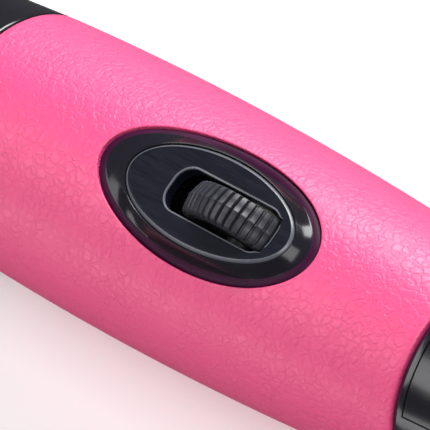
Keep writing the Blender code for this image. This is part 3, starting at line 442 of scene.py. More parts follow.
def metal(name, colour, roughness):
    """Drawn or turned metal, with fine lines along the curler."""
    finish = Finish(name, colour, roughness, metallic=1.0)
    lines = finish.noise(2400.0, 3.0, finish.stretched((0.05, 1.0, 1.0)))
    finish.bump(lines, 0.003, 0.6)
    finish.roughness(finish.ramp(lines, 0.3, 0.7, roughness * 0.75, roughness * 1.35))
    finish.tint(finish.noise(120.0), 0.35, 0.7, colour, tuple(c * 0.86 for c in colour))
    return finish.material


def barrel_coating():
    """Plum-black ceramic coating on aluminium, with fine sparkle and turning rings."""
    base = (0.060, 0.042, 0.056)
    finish = Finish("barrel_coating", base, 0.24, 0.55, Coat_Weight=0.35, Coat_Roughness=0.12)
    rings = finish.noise(1500.0, 2.0, finish.stretched((1.0, 0.02, 0.02)))
    finish.bump(rings, 0.0025, 0.5)
    finish.tint(finish.noise(7000.0, 1.0), 0.66, 0.74, (0.055, 0.038, 0.050), (0.16, 0.12, 0.145))
    finish.roughness(finish.ramp(finish.noise(60.0, 4.0), 0.3, 0.7, 0.20, 0.30))
    return finish.material


def rubber():
    """Matt black rubber with a dusty bloom."""
    finish = Finish("swivel_rubber", (0.018, 0.018, 0.019), 0.62, Sheen_Weight=0.15, Sheen_Roughness=0.5)
    finish.bump(finish.noise(3800.0, 4.0), 0.014, 0.7)
    finish.roughness(finish.ramp(finish.noise(300.0, 4.0), 0.3, 0.7, 0.55, 0.72))
    finish.tint(finish.noise(500.0, 5.0), 0.55, 0.75, (0.016, 0.016, 0.017), (0.036, 0.035, 0.034))
    return finish.material


def moulded(name, colour, roughness=0.5):
    """A plain moulded or fired part, faintly mottled."""
    finish = Finish(name, colour, roughness)
    finish.bump(finish.noise(4200.0, 3.0), 0.008, 0.6)
    finish.roughness(finish.ramp(finish.noise(200.0, 4.0), 0.3, 0.7, roughness - 0.06, roughness + 0.08))
    finish.tint(finish.noise(60.0, 5.0), 0.3, 0.7, colour, tuple(c * 0.9 for c in colour))
    return finish.material


def light_lens():
    finish = Finish("light_lens", (0.75, 0.16, 0.08), 0.12, Transmission_Weight=0.55, IOR=1.49)
    finish.bump(finish.noise(1500.0, 2.0), 0.004, 0.5)
    return finish.material


PINK = leather_plastic()
GLOSS = gloss_black("gloss_black", 0.5)
RING_GLOSS = gloss_black("bezel_gloss", 0.3)
# The plum is a painted reflection of the pink grip on the black trims' edges.
PINK_REFLECTION = painted_pink_reflection()
SATIN = satin_black()
PLATE = brushed_plate()
# Painted highlight: a light grey for the plate's chamfer and slot edge, standing in for the light they catch.
PLATE_EDGE_HIGHLIGHT = satin_black("plate_edge_highlight", (0.115, 0.117, 0.14), 0.30, 0.4)
WHEEL = wheel_plastic()
RUBBER = rubber()
COATING = barrel_coating()
STEEL = metal("steel", (0.62, 0.62, 0.64), 0.26)
BRASS = metal("brass", (0.78, 0.56, 0.24), 0.3)
ALUMINIUM = metal("aluminium", (0.78, 0.79, 0.80), 0.34)
WHITE = moulded("white_plastic", (0.78, 0.77, 0.73), 0.45)
GREY = moulded("grey_plastic", (0.22, 0.22, 0.23), 0.5)
CERAMIC = moulded("ceramic", (0.80, 0.77, 0.70), 0.6)
MICA = moulded("mica", (0.52, 0.42, 0.27), 0.6)
BOARD = moulded("board", (0.002, 0.012, 0.005), 0.6)
SLEEVE = moulded("capacitor_sleeve", (0.02, 0.035, 0.15), 0.3)
LENS = light_lens()
SLOT_FINISH = {
    "grip_pink": PINK, "gloss_black": GLOSS, "satin_black": SATIN, "wheel_black": WHEEL,
    "swivel_rubber": RUBBER, "steel": STEEL, "barrel_coating": COATING, "brass": BRASS,
    "white_plastic": WHITE, "grey_plastic": GREY, "aluminium": ALUMINIUM, "ceramic": CERAMIC, "mica": MICA,
    "board": BOARD, "capacitor_sleeve": SLEEVE, "light_lens": LENS,
}
CAD_SHARP_ANGLE = 32


def finish_cad_nodes():
    """Every CAD node takes its slot's finish. Those that a detailed piece stands for aren't shown."""
    for part in frame["record"]["subparts"]:
        mesh = frame["nodes"][part["node"]].data
        mesh.materials.clear()
        mesh.materials.append(SLOT_FINISH[part["material_slot"]])
        mesh.shade_smooth()
        mesh.set_sharp_from_angle(angle=math.radians(CAD_SHARP_ANGLE))


# ---- grip ----

WINDOW_X, WINDOW_ANGLE = 24.0, 60  # half the length, and half the angle in degrees, of the window's patch
ANGLE_STEP, RINGS = 5, 9  # the patch's grid, and its rings from the window outward
BACK_STEPS, PATCH_STEPS, FRONT_STEPS, SIDE_STEPS = 16, 40, 11, 9
RING_EASE = 1.25  # packs the rings closer at the window
RIM_ROUNDING = 0.4


def grip_point(x, angle):
    r = grip_radius(x)
    return Vector((x, r * math.sin(angle), r * math.cos(angle)))


def split_angle(x, above):
    """The angle round from the top of one side of the parting line."""
    return math.acos((SPLIT_Z + (SPLIT_GAP / 2 if above else -SPLIT_GAP / 2)) / grip_radius(x))


def point_key(point):
    return tuple(round(c, 4) for c in point)


def edge_key(edge):
    return tuple(sorted(point_key(vert.co) for vert in edge.verts))


def in_window(point):
    return abs(point.x) < WINDOW_A + 0.2 and abs(point.y) < WINDOW_B + 0.2 and point.z > 0


def off_window(point):
    return not in_window(point)


def anywhere(_):
    return True


def near_window(point):
    """1 up to the window's edge, falling to 0 at one and a half times its size."""
    return min(1.0, max(0.0, 3.0 - 2.0 * math.hypot(point.x / WINDOW_A, point.y / WINDOW_B)))


def shell(bm, rims, upright=None):
    """Makes a closed wall from an open outer surface, and rounds its rims.

    rims is [(test of a point, rounding, segments)].
    The wall goes straight down instead of inward where upright of a point is 1, and part way for less.
    """
    rim_edges = [edge for edge in bm.edges if edge.is_boundary]
    rim_keys = [edge_key(edge) for edge in rim_edges]
    normals = {}
    for vert in bm.verts:
        inward = Vector((0, vert.co.y, vert.co.z)).normalized()
        share = upright(vert.co) if upright else 0.0
        normals[point_key(vert.co)] = inward.lerp(Vector((0, 0, 1)), share)
    made = bmesh.ops.extrude_face_region(bm, geom=bm.faces[:], use_keep_orig=True)
    inner = [item for item in made["geom"] if isinstance(item, bmesh.types.BMVert)]
    for vert in inner:
        vert.co -= normals[point_key(vert.co)] * GRIP_WALL
    bmesh.ops.recalc_face_normals(bm, faces=bm.faces)
    keyed = {edge_key(edge): edge for edge in bm.edges}
    for test, rounding, segments in rims:
        chosen = []
        for key in rim_keys:
            edge = keyed.get(key)
            if edge is not None and edge.is_valid and all(test(Vector(point)) for point in key):
                chosen.append(edge)
        bmesh.ops.bevel(bm, geom=chosen, offset=rounding, segments=segments, profile=0.5, affect="EDGES",
                        clamp_overlap=True)
    return bm


def make_grip_top():
    """The upper half: a grid, and round the window a patch of rings from the oval to the grid."""
    window_steps = int(WINDOW_ANGLE / ANGLE_STEP)
    xs = steps(GRIP_BACK_X, -WINDOW_X, BACK_STEPS)[:-1] + steps(-WINDOW_X, WINDOW_X, PATCH_STEPS)
    xs += steps(WINDOW_X, GRIP_FRONT_X, FRONT_STEPS)[1:]
    first = xs.index(-WINDOW_X)
    last = first + PATCH_STEPS
    bm = bmesh.new()
    grid = {}

    def angle_at(i, j):
        if abs(j) <= window_steps:
            return math.radians(j * ANGLE_STEP)
        edge = math.radians(WINDOW_ANGLE)
        share = (abs(j) - window_steps) / SIDE_STEPS
        return math.copysign(edge + (split_angle(xs[i], True) - edge) * share, j)

    columns = range(-window_steps - SIDE_STEPS, window_steps + SIDE_STEPS + 1)
    for i, x in enumerate(xs):
        for j in columns:
            if not (first < i < last and abs(j) < window_steps):
                grid[i, j] = bm.verts.new(grip_point(x, angle_at(i, j)))
    for i in range(len(xs) - 1):
        for j in list(columns)[:-1]:
            corners = ((i, j), (i + 1, j), (i + 1, j + 1), (i, j + 1))
            if not (first <= i < last and -window_steps <= j < window_steps):
                bm.faces.new([grid[c] for c in corners])
    border = [(i, window_steps) for i in range(last, first, -1)]
    border += [(first, j) for j in range(window_steps, -window_steps, -1)]
    border += [(i, -window_steps) for i in range(first, last)]
    border += [(last, j) for j in range(-window_steps, window_steps)]
    rings = []
    for k in range(RINGS):
        share = (k / RINGS) ** RING_EASE
        ring = []
        for i, j in border:
            u, v = xs[i] / WINDOW_X, j / window_steps
            way = math.atan2(v, u)
            ex, ey = WINDOW_A * math.cos(way), WINDOW_B * math.sin(way)
            start = math.asin(ey / grip_radius(ex))
            x = ex + (xs[i] - ex) * share
            ring.append(bm.verts.new(grip_point(x, start + (angle_at(i, j) - start) * share)))
        rings.append(ring)
    rings.append([grid[c] for c in border])
    skin(bm, rings)
    shell(bm, [(in_window, WINDOW_LIP, 5), (off_window, RIM_ROUNDING, 3)], near_window)
    place("grip_skin_top", bm, PINK, "handle", ["grip_shell_top"], sharp=50)


def make_grip_bottom():
    """The lower half, with the holes that its four screws go in by."""
    bm = bmesh.new()
    loops = []
    for x in steps(GRIP_BACK_X, GRIP_FRONT_X, 72):
        edge = split_angle(x, False)
        loops.append([bm.verts.new(grip_point(x, a)) for a in steps(edge, TURN - edge, 40)])
    skin(bm, loops, closed_loops=False)
    shell(bm, [(anywhere, RIM_ROUNDING, 3)])
    bottom = place("grip_skin_bottom", bm, PINK, "handle", ["grip_shell_bottom"], sharp=50)
    places = [(x, side * SCREW_Y) for x in SCREW_X for side in (1, -1)]
    cut(bottom, *(rod((x, y, -30), (x, y, -5), SCREW_HOLE_R, 32, 0) for x, y in places), sharp=50)


def stood(bm, at, way):
    """Turns a piece drawn along +X so that it runs along way, and moves its start to at."""
    turn = Vector((1, 0, 0)).rotation_difference(Vector(way)).to_matrix().to_4x4()
    bm.transform(Matrix.Translation(Vector(at)) @ turn)
    return bm


def screw_head(radius, height, shank_r, length):
    """A pan-head screw along +X from the shank's tip to the head's top, with a cross recess."""
    under = length - height
    outline = [(0, 0), (0, shank_r - 0.3), (0.5, shank_r), (under, shank_r), (under, radius, 0.2),
               (length - height * 0.45, radius, 0.4), (length, radius * 0.55), (length, 0)]
    return turned(eased(outline), 32)


def make_screws():
    for x, end in zip(SCREW_X, ("back", "front")):
        for side, word in ((1, "left"), (-1, "right")):
            y = side * SCREW_Y
            bm = stood(screw_head(2.1, 1.5, 1.1, 13.8), (x, y, 3), (0, 0, -1))
            node = f"case_screw_{end}_{word}"
            screw = place(f"pan_screw_{end}_{word}", bm, STEEL, "handle", [node])
            arms = (rectangle(x, y, 1.25, 0.24), rectangle(x, y, 0.24, 1.25))
            cut(screw, *(prism(arm, -12, -10.0, along="Z") for arm in arms))


# ---- window ----

WINDOW_SIDES = 144


def make_bezel():
    """A gloss ring that falls from the plate's edge to a soft shoulder inside the pink lip. The shoulder and outer
    wall are painted plum as the pink's reflection in the gloss.
    """
    bm = bmesh.new()
    shoulder_width, shoulder_height, shoulder_sink = 1.5, 0.5, 0.18
    wall_depth, hollow, reflection_faces = 3.6, 0.12, 9
    loops = []
    for i in range(WINDOW_SIDES):
        t = TURN * i / WINDOW_SIDES
        outer = Vector(((WINDOW_A - BEZEL_GAP) * math.cos(t), (WINDOW_B - BEZEL_GAP) * math.sin(t)))
        inner = Vector((PLATE_X + (PLATE_A + PLATE_GAP) * math.cos(t), (PLATE_B + PLATE_GAP) * math.sin(t)))
        way, width = (inner - outer).normalized(), (inner - outer).length
        rim = math.sqrt(grip_radius(outer.x) ** 2 - outer.y**2) - shoulder_sink
        outline = [(0, rim - wall_depth), (0, rim - shoulder_height)]
        for a in steps(180, 100, 8)[1:]:
            rise = 1 - math.sin(math.radians(a))
            outline.append((shoulder_width * (1 + math.cos(math.radians(a))), rim - shoulder_height * rise))
        crest = PLATE_TOP - 0.05
        start, low = outline[-1]
        for share in steps(0, 1, 8)[1:-1]:
            dip = hollow * math.sin(math.pi * share)
            outline.append((start + (width - 0.25 - start) * share, low + (crest - low) * share - dip))
        outline += [(width - 0.22, crest), (width - 0.06, crest - 0.05), (width, crest - 0.22)]
        outline.append((width, rim - wall_depth))
        loops.append([(*(outer + way * d), z) for d, z in outline])
    made = [[bm.verts.new(p) for p in loop] for loop in loops]
    skin(bm, made, closed_stack=True)
    # Painted reflection: the outer wall and shoulder take the plum that stands in for the pink lip's reflection.
    for i, face in enumerate(bm.faces):
        face.material_index = int(i % len(loops[0]) < reflection_faces)  # the outer wall and the shoulder
    ring = place("bezel_gloss_ring", bm, RING_GLOSS, "handle", ["bezel_ring"], sharp=45)
    ring.data.materials.append(PINK_REFLECTION)


def slot_outline(count, grow=0.0):
    """Evenly spread points round the wheel slot, starting on its long side's middle axis at +X."""
    half_x, half_y = SLOT_LENGTH / 2 + grow, SLOT_WIDTH / 2 + grow
    corner = SLOT_CORNER + grow
    dense = []
    for sx, sy, start in ((1, 1, 0), (-1, 1, 90), (-1, -1, 180), (1, -1, 270)):
        dense += arc(SLOT_X + sx * (half_x - corner), sy * (half_y - corner), corner, start, start + 90, 16)
    dense = [(SLOT_X + half_x, 0.0)] + dense + [(SLOT_X + half_x, 0.0)]
    lengths = [0.0]
    for one, two in zip(dense, dense[1:]):
        lengths.append(lengths[-1] + math.dist(one, two))
    points, k = [], 0
    for i in range(count):
        want = lengths[-1] * i / count
        while lengths[k + 1] < want:
            k += 1
        share = (want - lengths[k]) / max(lengths[k + 1] - lengths[k], 1e-9)
        points.append(tuple(a + (b - a) * share for a, b in zip(dense[k], dense[k + 1])))
    return points


def make_plate():
    """A flat satin plate whose chamfered edge and slot edge are painted light grey as their highlight, and whose
    slot is undercut in front of the wheel.
    """
    bm = bmesh.new()
    angles = [TURN * i / WINDOW_SIDES for i in range(WINDOW_SIDES)]
    rim = [(PLATE_A * math.cos(a), PLATE_B * math.sin(a)) for a in angles]

    def outer(inset, z):
        share = 1 - inset / PLATE_B
        return [(PLATE_X + x * (1 - inset / PLATE_A), y * share, z) for x, y in rim]

    def inner(grow, z):
        room = WHEEL_X + math.sqrt((WHEEL_R + 0.3) ** 2 - (z - WHEEL_Z) ** 2)
        return [(max(x, room) if x > SLOT_X + 6 and abs(y) < WHEEL_WIDTH / 2 + 0.3 else x, y, z)
                for x, y in slot_outline(WINDOW_SIDES, grow)]

    edge, slot_edge = outer(0.42, PLATE_TOP), inner(0.26, PLATE_TOP)
    low = PLATE_TOP - PLATE_THICK
    loops = [outer(0, low), outer(0, PLATE_TOP - 0.36), outer(0.05, PLATE_TOP - 0.28)]
    loops += [outer(0.34, PLATE_TOP - 0.03), edge]
    for share in (0.1, 0.5, 0.9):
        loops.append([tuple(a + (b - a) * share for a, b in zip(p, q)) for p, q in zip(edge, slot_edge)])
    loops += [slot_edge, inner(0.08, PLATE_TOP - 0.07), inner(0, PLATE_TOP - 0.24)]
    loops += [inner(0, PLATE_TOP - 0.7), inner(0, low)]
    loft(bm, loops, closed_stack=True)
    # These bands take the light grey painted highlight.
    edge_bands = (1, 2, 3, 8, 9)  # the chamfer and the slot's edge
    for i, face in enumerate(bm.faces):
        face.material_index = int(i // WINDOW_SIDES in edge_bands)
    plate = place("selector_plate_satin", bm, PLATE, "handle", ["selector_plate"], sharp=30)
    plate.data.materials.append(PLATE_EDGE_HIGHLIGHT)


# ---- thumb wheel ----

# One rib's section: share of the pitch, share of the rib's height
RIB = ((-0.50, 0.0), (-0.40, 0.0), (-0.36, 0.70), (-0.29, 0.98), (-0.10, 1.0),
       (0.10, 1.0), (0.29, 0.98), (0.36, 0.70), (0.40, 0.0))
RIB_HEIGHT = 0.75


def make_wheel():
    """A rim of straight ribs, crowned to a fine parting ridge at the middle, on a dished disc."""
    bm = bmesh.new()
    half = WHEEL_WIDTH / 2
    section = [(TURN * (i + share) / WHEEL_RIBS, rise) for i in range(WHEEL_RIBS) for share, rise in RIB]

    def at(angle, y, r):
        return (WHEEL_X + r * math.sin(angle), y, WHEEL_Z + r * math.cos(angle))

    def rim(y, crown, height):
        """A loop round the ribs, lowered by crown, with their height cut to a share."""
        return [at(angle, y, WHEEL_R - crown - RIB_HEIGHT * (1 - rise * height)) for angle, rise in section]

    def disc(y, radius):
        return [at(angle, y, radius) for angle, _ in section]

    side = [(half - 0.7, 2.2), (half - 0.7, 6.6), (half, 7.2)]
    loops = [disc(-half, WHEEL_BORE_R), disc(-half, 2.0)]
    loops += [disc(-y, r) for y, r in side]
    across = [(half, 0.95, 0.72), (half - 0.16, 0.62, 0.95), (half - 0.45, 0.46, 1.0), (1.2, 0.24, 1.0),
              (0.16, 0.08, 1.0), (0.07, 0.0, 1.0)]  # y, crown, height
    loops += [rim(-y, crown, height) for y, crown, height in across]
    loops += [rim(y, crown, height) for y, crown, height in reversed(across)]
    loops += [disc(y, r) for y, r in reversed(side)]
    loops += [disc(half, 2.0), disc(half, WHEEL_BORE_R)]
    loft(bm, loops, closed_stack=True)
    place("ribbed_thumb_wheel", bm, WHEEL, "selector", ["selector_wheel"], sharp=38)


# ---- tail ----

def upright_hole(x, radius, sides):
    """A cutter that goes down through the tail's top."""
    return rod((x, 0, 5), (x, 0, 30), radius, sides, 0)


def make_tail():
    """The hollow rear cap, its power button with a dished top, and the pilot light."""
    seam = GRIP_BACK_X - 0.25
    outside = [(x, tail_radius(x)) for x in steps(seam - 1.2, TAIL_BACK_X + 1.5, 30)]
    spigot_r = grip_radius(GRIP_BACK_X) - GRIP_WALL - SPIGOT_GAP
    outline = [(GRIP_BACK_X + 4, spigot_r), (seam, spigot_r), (seam, tail_radius(seam), 0.6), *outside,
               (TAIL_BACK_X, TAIL_END_R, 0.9), (TAIL_BACK_X, SWIVEL_NECK_R + 0.25, 0.2),
               (TAIL_BACK_X + 2.4, SWIVEL_NECK_R + 0.25), (TAIL_BACK_X + 2.4, 8.3), (TAIL_BACK_X + 6, 9.0),
               (-80, 13.2), (-60, 15.6), (GRIP_BACK_X + 4, spigot_r - 1.4)]
    tail = place("tail_cap_gloss", turned(eased(outline)), GLOSS, "handle", ["tail_cap"])
    cut(tail, upright_hole(BUTTON_X, BUTTON_R + 0.2, 48), upright_hole(LIGHT_X, LIGHT_R + 0.1, 32))
    top = tail_radius(BUTTON_X) + 0.7
    dish = [(top - 3.4, 0), (top - 3.4, BUTTON_R - 0.4), (top - 0.6, BUTTON_R), (top, BUTTON_R, 0.45),
            (top - 0.05, 3.6), (top - 0.18, 3.0), (top - 0.14, 2.6), (top - 0.22, 2.3), (top - 0.42, 1.2),
            (top - 0.5, 0)]
    up = (0, 0, 1)
    button = stood(turned(eased(dish), 64), (BUTTON_X, 0, 0), up)
    place("power_button_dish", button, SATIN, "power_key", ["power_button"])
    stem_low, stem_r = 3.2, 1.8
    stem = rod((BUTTON_X, 0, stem_low), (BUTTON_X, 0, top - 3.2), stem_r)
    place("power_button_stem", stem, SATIN, "power_key")
    top = tail_radius(LIGHT_X) + 0.25
    dome = [(10.5, 0), (10.5, LIGHT_R), (top - 0.35, LIGHT_R), (top - 0.12, LIGHT_R * 0.8),
            (top - 0.02, LIGHT_R * 0.4), (top, 0)]
    light = stood(turned(dome, 32), (LIGHT_X, 0, 0), up)
    place("power_light_dome", light, LENS, "handle", ["power_light"])


def make_swivel():
    """A ribbed rubber nose that turns in the tail's end. The cord isn't part of this model."""
    front = TAIL_BACK_X + 2.7
    outline = [(SWIVEL_END_X, SWIVEL_BORE_R, 0.3), (SWIVEL_END_X, 5.2, 0.5)]
    ribs, pitch, groove = 3, 1.25, 0.55
    x = SWIVEL_END_X + 0.9
    for i in range(ribs):
        r = 5.75 + 0.12 * i
        outline += [(x, r, 0.25), (x + pitch * 0.5, r, 0.25), (x + pitch * 0.5, r - groove, 0.15)]
        outline.append((x + pitch, r - groove, 0.15))
        x += pitch
    outline += [(x, SWIVEL_NECK_R, 0.4), (front, SWIVEL_NECK_R), (front, 8.0, 0.2), (front + 2.0, 8.0, 0.2)]
    outline += [(front + 2.0, 6.0), (front + 5.0, 6.0, 0.3), (front + 5.0, SWIVEL_BORE_R)]
    bm = turned(eased(outline), 64)
    place("cord_swivel_nose", bm, RUBBER, "cord_swivel", ["cord_swivel"])


# ---- collar and its panel ----

def cover_segment(name, grow, low, high, material, replaces=()):
    """A strip of the collar's top between two depths from its surface, grown on all sides."""
    half = COVER_HALF_ANGLE + grow / COLLAR_FRONT_R
    angles = steps(-half, half, 40)
    bm = bmesh.new()
    loops = []
    for x in steps(COVER_BACK_X - grow, COVER_FRONT_X + grow, 40):
        out, under = collar_radius(x) + high, collar_radius(x) - low
        ring = [(out, a) for a in angles] + [(under, a) for a in reversed(angles)]
        loops.append([(x, r * math.sin(a), r * math.cos(a)) for r, a in ring])
    loft(bm, loops)
    if material is None:
        return bm
    return place(name, bm, material, "handle", replaces, bevel=(0.12, 2), sharp=50)


def make_collar():
    """The front collar with the pink's reflection painted plum on its back edge, its flush panel, and the stand's
    bosses and pins.
    """
    spigot_r = grip_radius(GRIP_FRONT_X) - GRIP_WALL - SPIGOT_GAP
    back = GRIP_FRONT_X + 0.25
    surface = [(x, collar_radius(x)) for x in steps(back + 1.5, COLLAR_FRONT_X - 1.2, 28)]
    outline = [(GRIP_FRONT_X - 4, spigot_r), (back, spigot_r), (back, collar_radius(back), 0.7), *surface,
               (COLLAR_FRONT_X, COLLAR_FRONT_R, 0.6), (COLLAR_FRONT_X, 9.8, 0.3), (COLLAR_FRONT_X - 1.2, 9.8),
               (COLLAR_FRONT_X - 1.2, COLLAR_BORE_R), (GRIP_FRONT_X + 8, COLLAR_BORE_R),
               (GRIP_FRONT_X - 4, spigot_r - 1.1)]
    bm = turned(eased(outline), 128)
    collar = place("collar_gloss", bm, GLOSS, "handle", ["front_collar"])
    # Painted reflection: a band at the collar's back edge takes the plum that stands in for the pink grip's
    # reflection.
    collar.data.materials.append(PINK_REFLECTION)
    for face in collar.data.polygons:
        middle = TO_WORLD.inverted() @ face.center
        outside = math.hypot(middle.y, middle.z) > collar_radius(back) - 1.0
        if outside and back - 0.05 < middle.x < back + 0.75:
            face.material_index = 1
    cut(collar, cover_segment("pocket", 0.12, COVER_THICK + 0.2, 3.0, None))
    cover_segment("collar_panel_gloss", 0.0, COVER_THICK, 0.0, GLOSS, ["collar_cover"])
    for side, word in ((1, "left"), (-1, "right")):
        out = (0, side, 0)
        boss = [(0, 0), (0, 3.3), (2.7, 3.2, 0.35), (2.7, 0)]
        bm = stood(turned(eased(boss), 40), (STAND_PIN_X, side * 12.2, STAND_PIN_Z), out)
        place(f"stand_boss_{word}", bm, GLOSS, "handle")
        pin = [(0, 0), (0, 1.4), (4.8, 1.4), (4.8, 2.4, 0.15), (5.35, 2.4, 0.35), (5.7, 1.6), (5.7, 0)]
        bm = stood(turned(eased(pin), 32), (STAND_PIN_X, side * 12.9, STAND_PIN_Z), out)
        place(f"stand_pin_dome_{word}", bm, STEEL, "handle", [f"stand_pin_{word}"])


def floor_z(x):
    """The height of the floor under x, in the curler's own directions."""
    near_floor = TO_WORLD @ Vector((x, 0, -29))
    return (TO_WORLD.inverted() @ Vector((near_floor.x, 0, 0))).z


def make_stand():
    """Two flat legs with a raised rib each, and a foot bar whose sole lies flat on the floor."""
    x0, x1 = FOOT_BACK_X, FOOT_FRONT_X
    z0, z1 = floor_z(x0), floor_z(x1)
    legs = [*arc(STAND_PIN_X, STAND_PIN_Z, 3.2, 0, 180, 14), (x0 + 0.4, z0 + 0.3), (x1 - 0.4, z1 + 0.3)]
    for side, word in ((1, "left"), (-1, "right")):
        faces = sorted((side * STAND_ARM_Y, side * (STAND_ARM_Y + STAND_ARM_THICK)))
        leg = place(f"stand_leg_{word}", prism(legs, *faces), SATIN, "stand")
        cut(leg, pin_hole(STAND_PIN_X, STAND_PIN_Z, 1.52))
        round_edges(leg, 0.4, 3, 50)
        rib_r, rib_sink, rib_rise = 1.3, 0.3, 0.35
        inset = arc(STAND_PIN_X + 1.2, STAND_PIN_Z - 6.4, rib_r, 20, 200, 8)
        inset += arc(x0 + 4.0, z0 + 5.2, rib_r, 200, 380, 8)
        out = side * (STAND_ARM_Y + STAND_ARM_THICK)
        bm = prism(inset, *sorted((out - side * rib_sink, out + side * rib_rise)))
        place(f"stand_leg_rib_{word}", bm, SATIN, "stand", bevel=(0.2, 2))
    bar = [(x0, z0), (x1, z1), (x1 - 0.6, z1 + FOOT_HEIGHT), (x0 + 0.6, z0 + FOOT_HEIGHT)]
    bm = prism(bar, -FOOT_HALF_Y, FOOT_HALF_Y)
    place("stand_foot_bar", bm, SATIN, "stand", ["stand_frame"], bevel=(0.55, 3))


# ---- barrel ----

def make_barrel():
    """The grooved base ring with the clamp's lugs and pin, the coated tube, and the ribbed cool tip."""
    groove = BASE_BACK_X + 4.2
    outline = [(BASE_BACK_X, HUB_R + HUB_GAP), (BASE_BACK_X, BASE_R, 0.8), (groove, BASE_R, 0.25),
               (groove + 0.4, BASE_R - 0.5, 0.2), (groove + 1.2, BASE_R - 0.5, 0.2),
               (groove + 1.6, BASE_R, 0.25), (BASE_FRONT_X - 2.2, BASE_R, 1.6),
               (BASE_FRONT_X, BARREL_R + 0.5, 0.3), (BASE_FRONT_X, HUB_R + HUB_GAP)]
    place("barrel_base_ring", turned(eased(outline), 112), SATIN, "barrel", ["barrel_base"])
    lug = [(CLAMP_PIN_X - 5.0, 12.6), (CLAMP_PIN_X + 3.6, 12.6)]
    lug += arc(CLAMP_PIN_X, CLAMP_PIN_Z, 2.6, -10, 190, 16)
    for side, word in ((1, "left"), (-1, "right")):
        bm = prism(lug, *sorted((side * 5.1, side * 6.9)))
        ear = place(f"clamp_lug_{word}", bm, SATIN, "barrel")
        cut(ear, pin_hole(CLAMP_PIN_X, CLAMP_PIN_Z, CLAMP_PIN_R + 0.1))
        round_edges(ear, 0.3, 3, 50)
    pin = [(0, 0), (0, 0.8), (0.25, CLAMP_PIN_R), (14.15, CLAMP_PIN_R), (14.4, 0.8), (14.4, 0)]
    bm = stood(turned(pin, 32), (CLAMP_PIN_X, -7.2, CLAMP_PIN_Z), (0, 1, 0))
    place("clamp_pin_round", bm, STEEL, "barrel", ["clamp_pin"])
    tube = [(BARREL_BACK_X, BARREL_R - 1.0), (BARREL_BACK_X, BARREL_R, 0.3), (BARREL_FRONT_X, BARREL_R, 0.3),
            (BARREL_FRONT_X, BARREL_R - 1.0)]
    bm = turned(eased(tube), 128)
    place("barrel_tube_coated", bm, COATING, "barrel", ["barrel_tube"])
    tip = [(TIP_BACK_X - 4, 0), (TIP_BACK_X - 4, 11.2), (TIP_BACK_X, 11.2), (TIP_BACK_X, TIP_R, 0.35)]
    for x in steps(TIP_BACK_X + 3.0, TIP_BACK_X + 8.6, 2):
        low = TIP_R - 0.45
        tip += [(x, TIP_R, 0.2), (x + 0.35, low, 0.12), (x + 0.95, low, 0.12), (x + 1.3, TIP_R, 0.2)]
    nose, flat_r = TIP_BACK_X + 10.6, 3.2
    for a in steps(0, math.pi / 2, 14):
        tip.append((nose + (TIP_FRONT_X - nose) * math.sin(a), flat_r + (TIP_R - flat_r) * math.cos(a)))
    tip += [(TIP_FRONT_X - 0.25, 2.4), (TIP_FRONT_X - 0.3, 0)]
    place("cool_tip_ribbed", turned(eased(tip), 112), SATIN, "barrel", ["cool_tip"])


def smooth(t):
    t = min(1.0, max(0.0, t))
    return t * t * (3 - 2 * t)


def make_spoon(inner, outer):
    """A curved blade that follows the barrel: a narrow tang, a round nose, and a lifted tip."""
    tang_share, tang_start, tang_run = 0.34, 5, 18
    nose_run, lift_run, lift, edge = 14.0, 9, 0.9, 0.25
    bm = bmesh.new()
    loops = []
    for x in steps(CLAMP_BACK_X, CLAMP_FRONT_X, 90):
        tang = tang_share + (1 - tang_share) * smooth((x - CLAMP_BACK_X - tang_start) / tang_run)
        nose = math.sqrt(max(0.02, 1 - max(0.0, (x - CLAMP_FRONT_X + nose_run) / nose_run) ** 2))
        half = CLAMP_HALF_ANGLE * tang * nose
        raised = lift * smooth((x - CLAMP_FRONT_X + lift_run) / lift_run) ** 2
        angles = steps(-half, half, 28)
        ring = [(outer + raised - edge, angles[0])] + [(outer + raised, a) for a in angles[1:-1]]
        ring += [(outer + raised - edge, angles[-1]), (inner + raised + edge, angles[-1])]
        ring += [(inner + raised, a) for a in reversed(angles[1:-1])] + [(inner + raised + edge, angles[0])]
        loops.append([(x, r * math.sin(a), r * math.cos(a)) for r, a in ring])
    loft(bm, loops)
    place("clamp_spoon_curved", bm, COATING, "clamp", ["clamp_spoon"], sharp=60)


def lever_section(x, low, high, half):
    """A rounded box's outline across the lever."""
    middle, rise = (low + high) / 2, (high - low) / 2
    squareness_y, squareness_z, sides = 0.36, 0.45, 28
    ring = []
    for i in range(sides):
        c, s = math.cos(TURN * i / sides), math.sin(TURN * i / sides)
        y = half * math.copysign(abs(c) ** squareness_y, c)
        ring.append((x, y, middle + rise * math.copysign(abs(s) ** squareness_z, s)))
    return ring


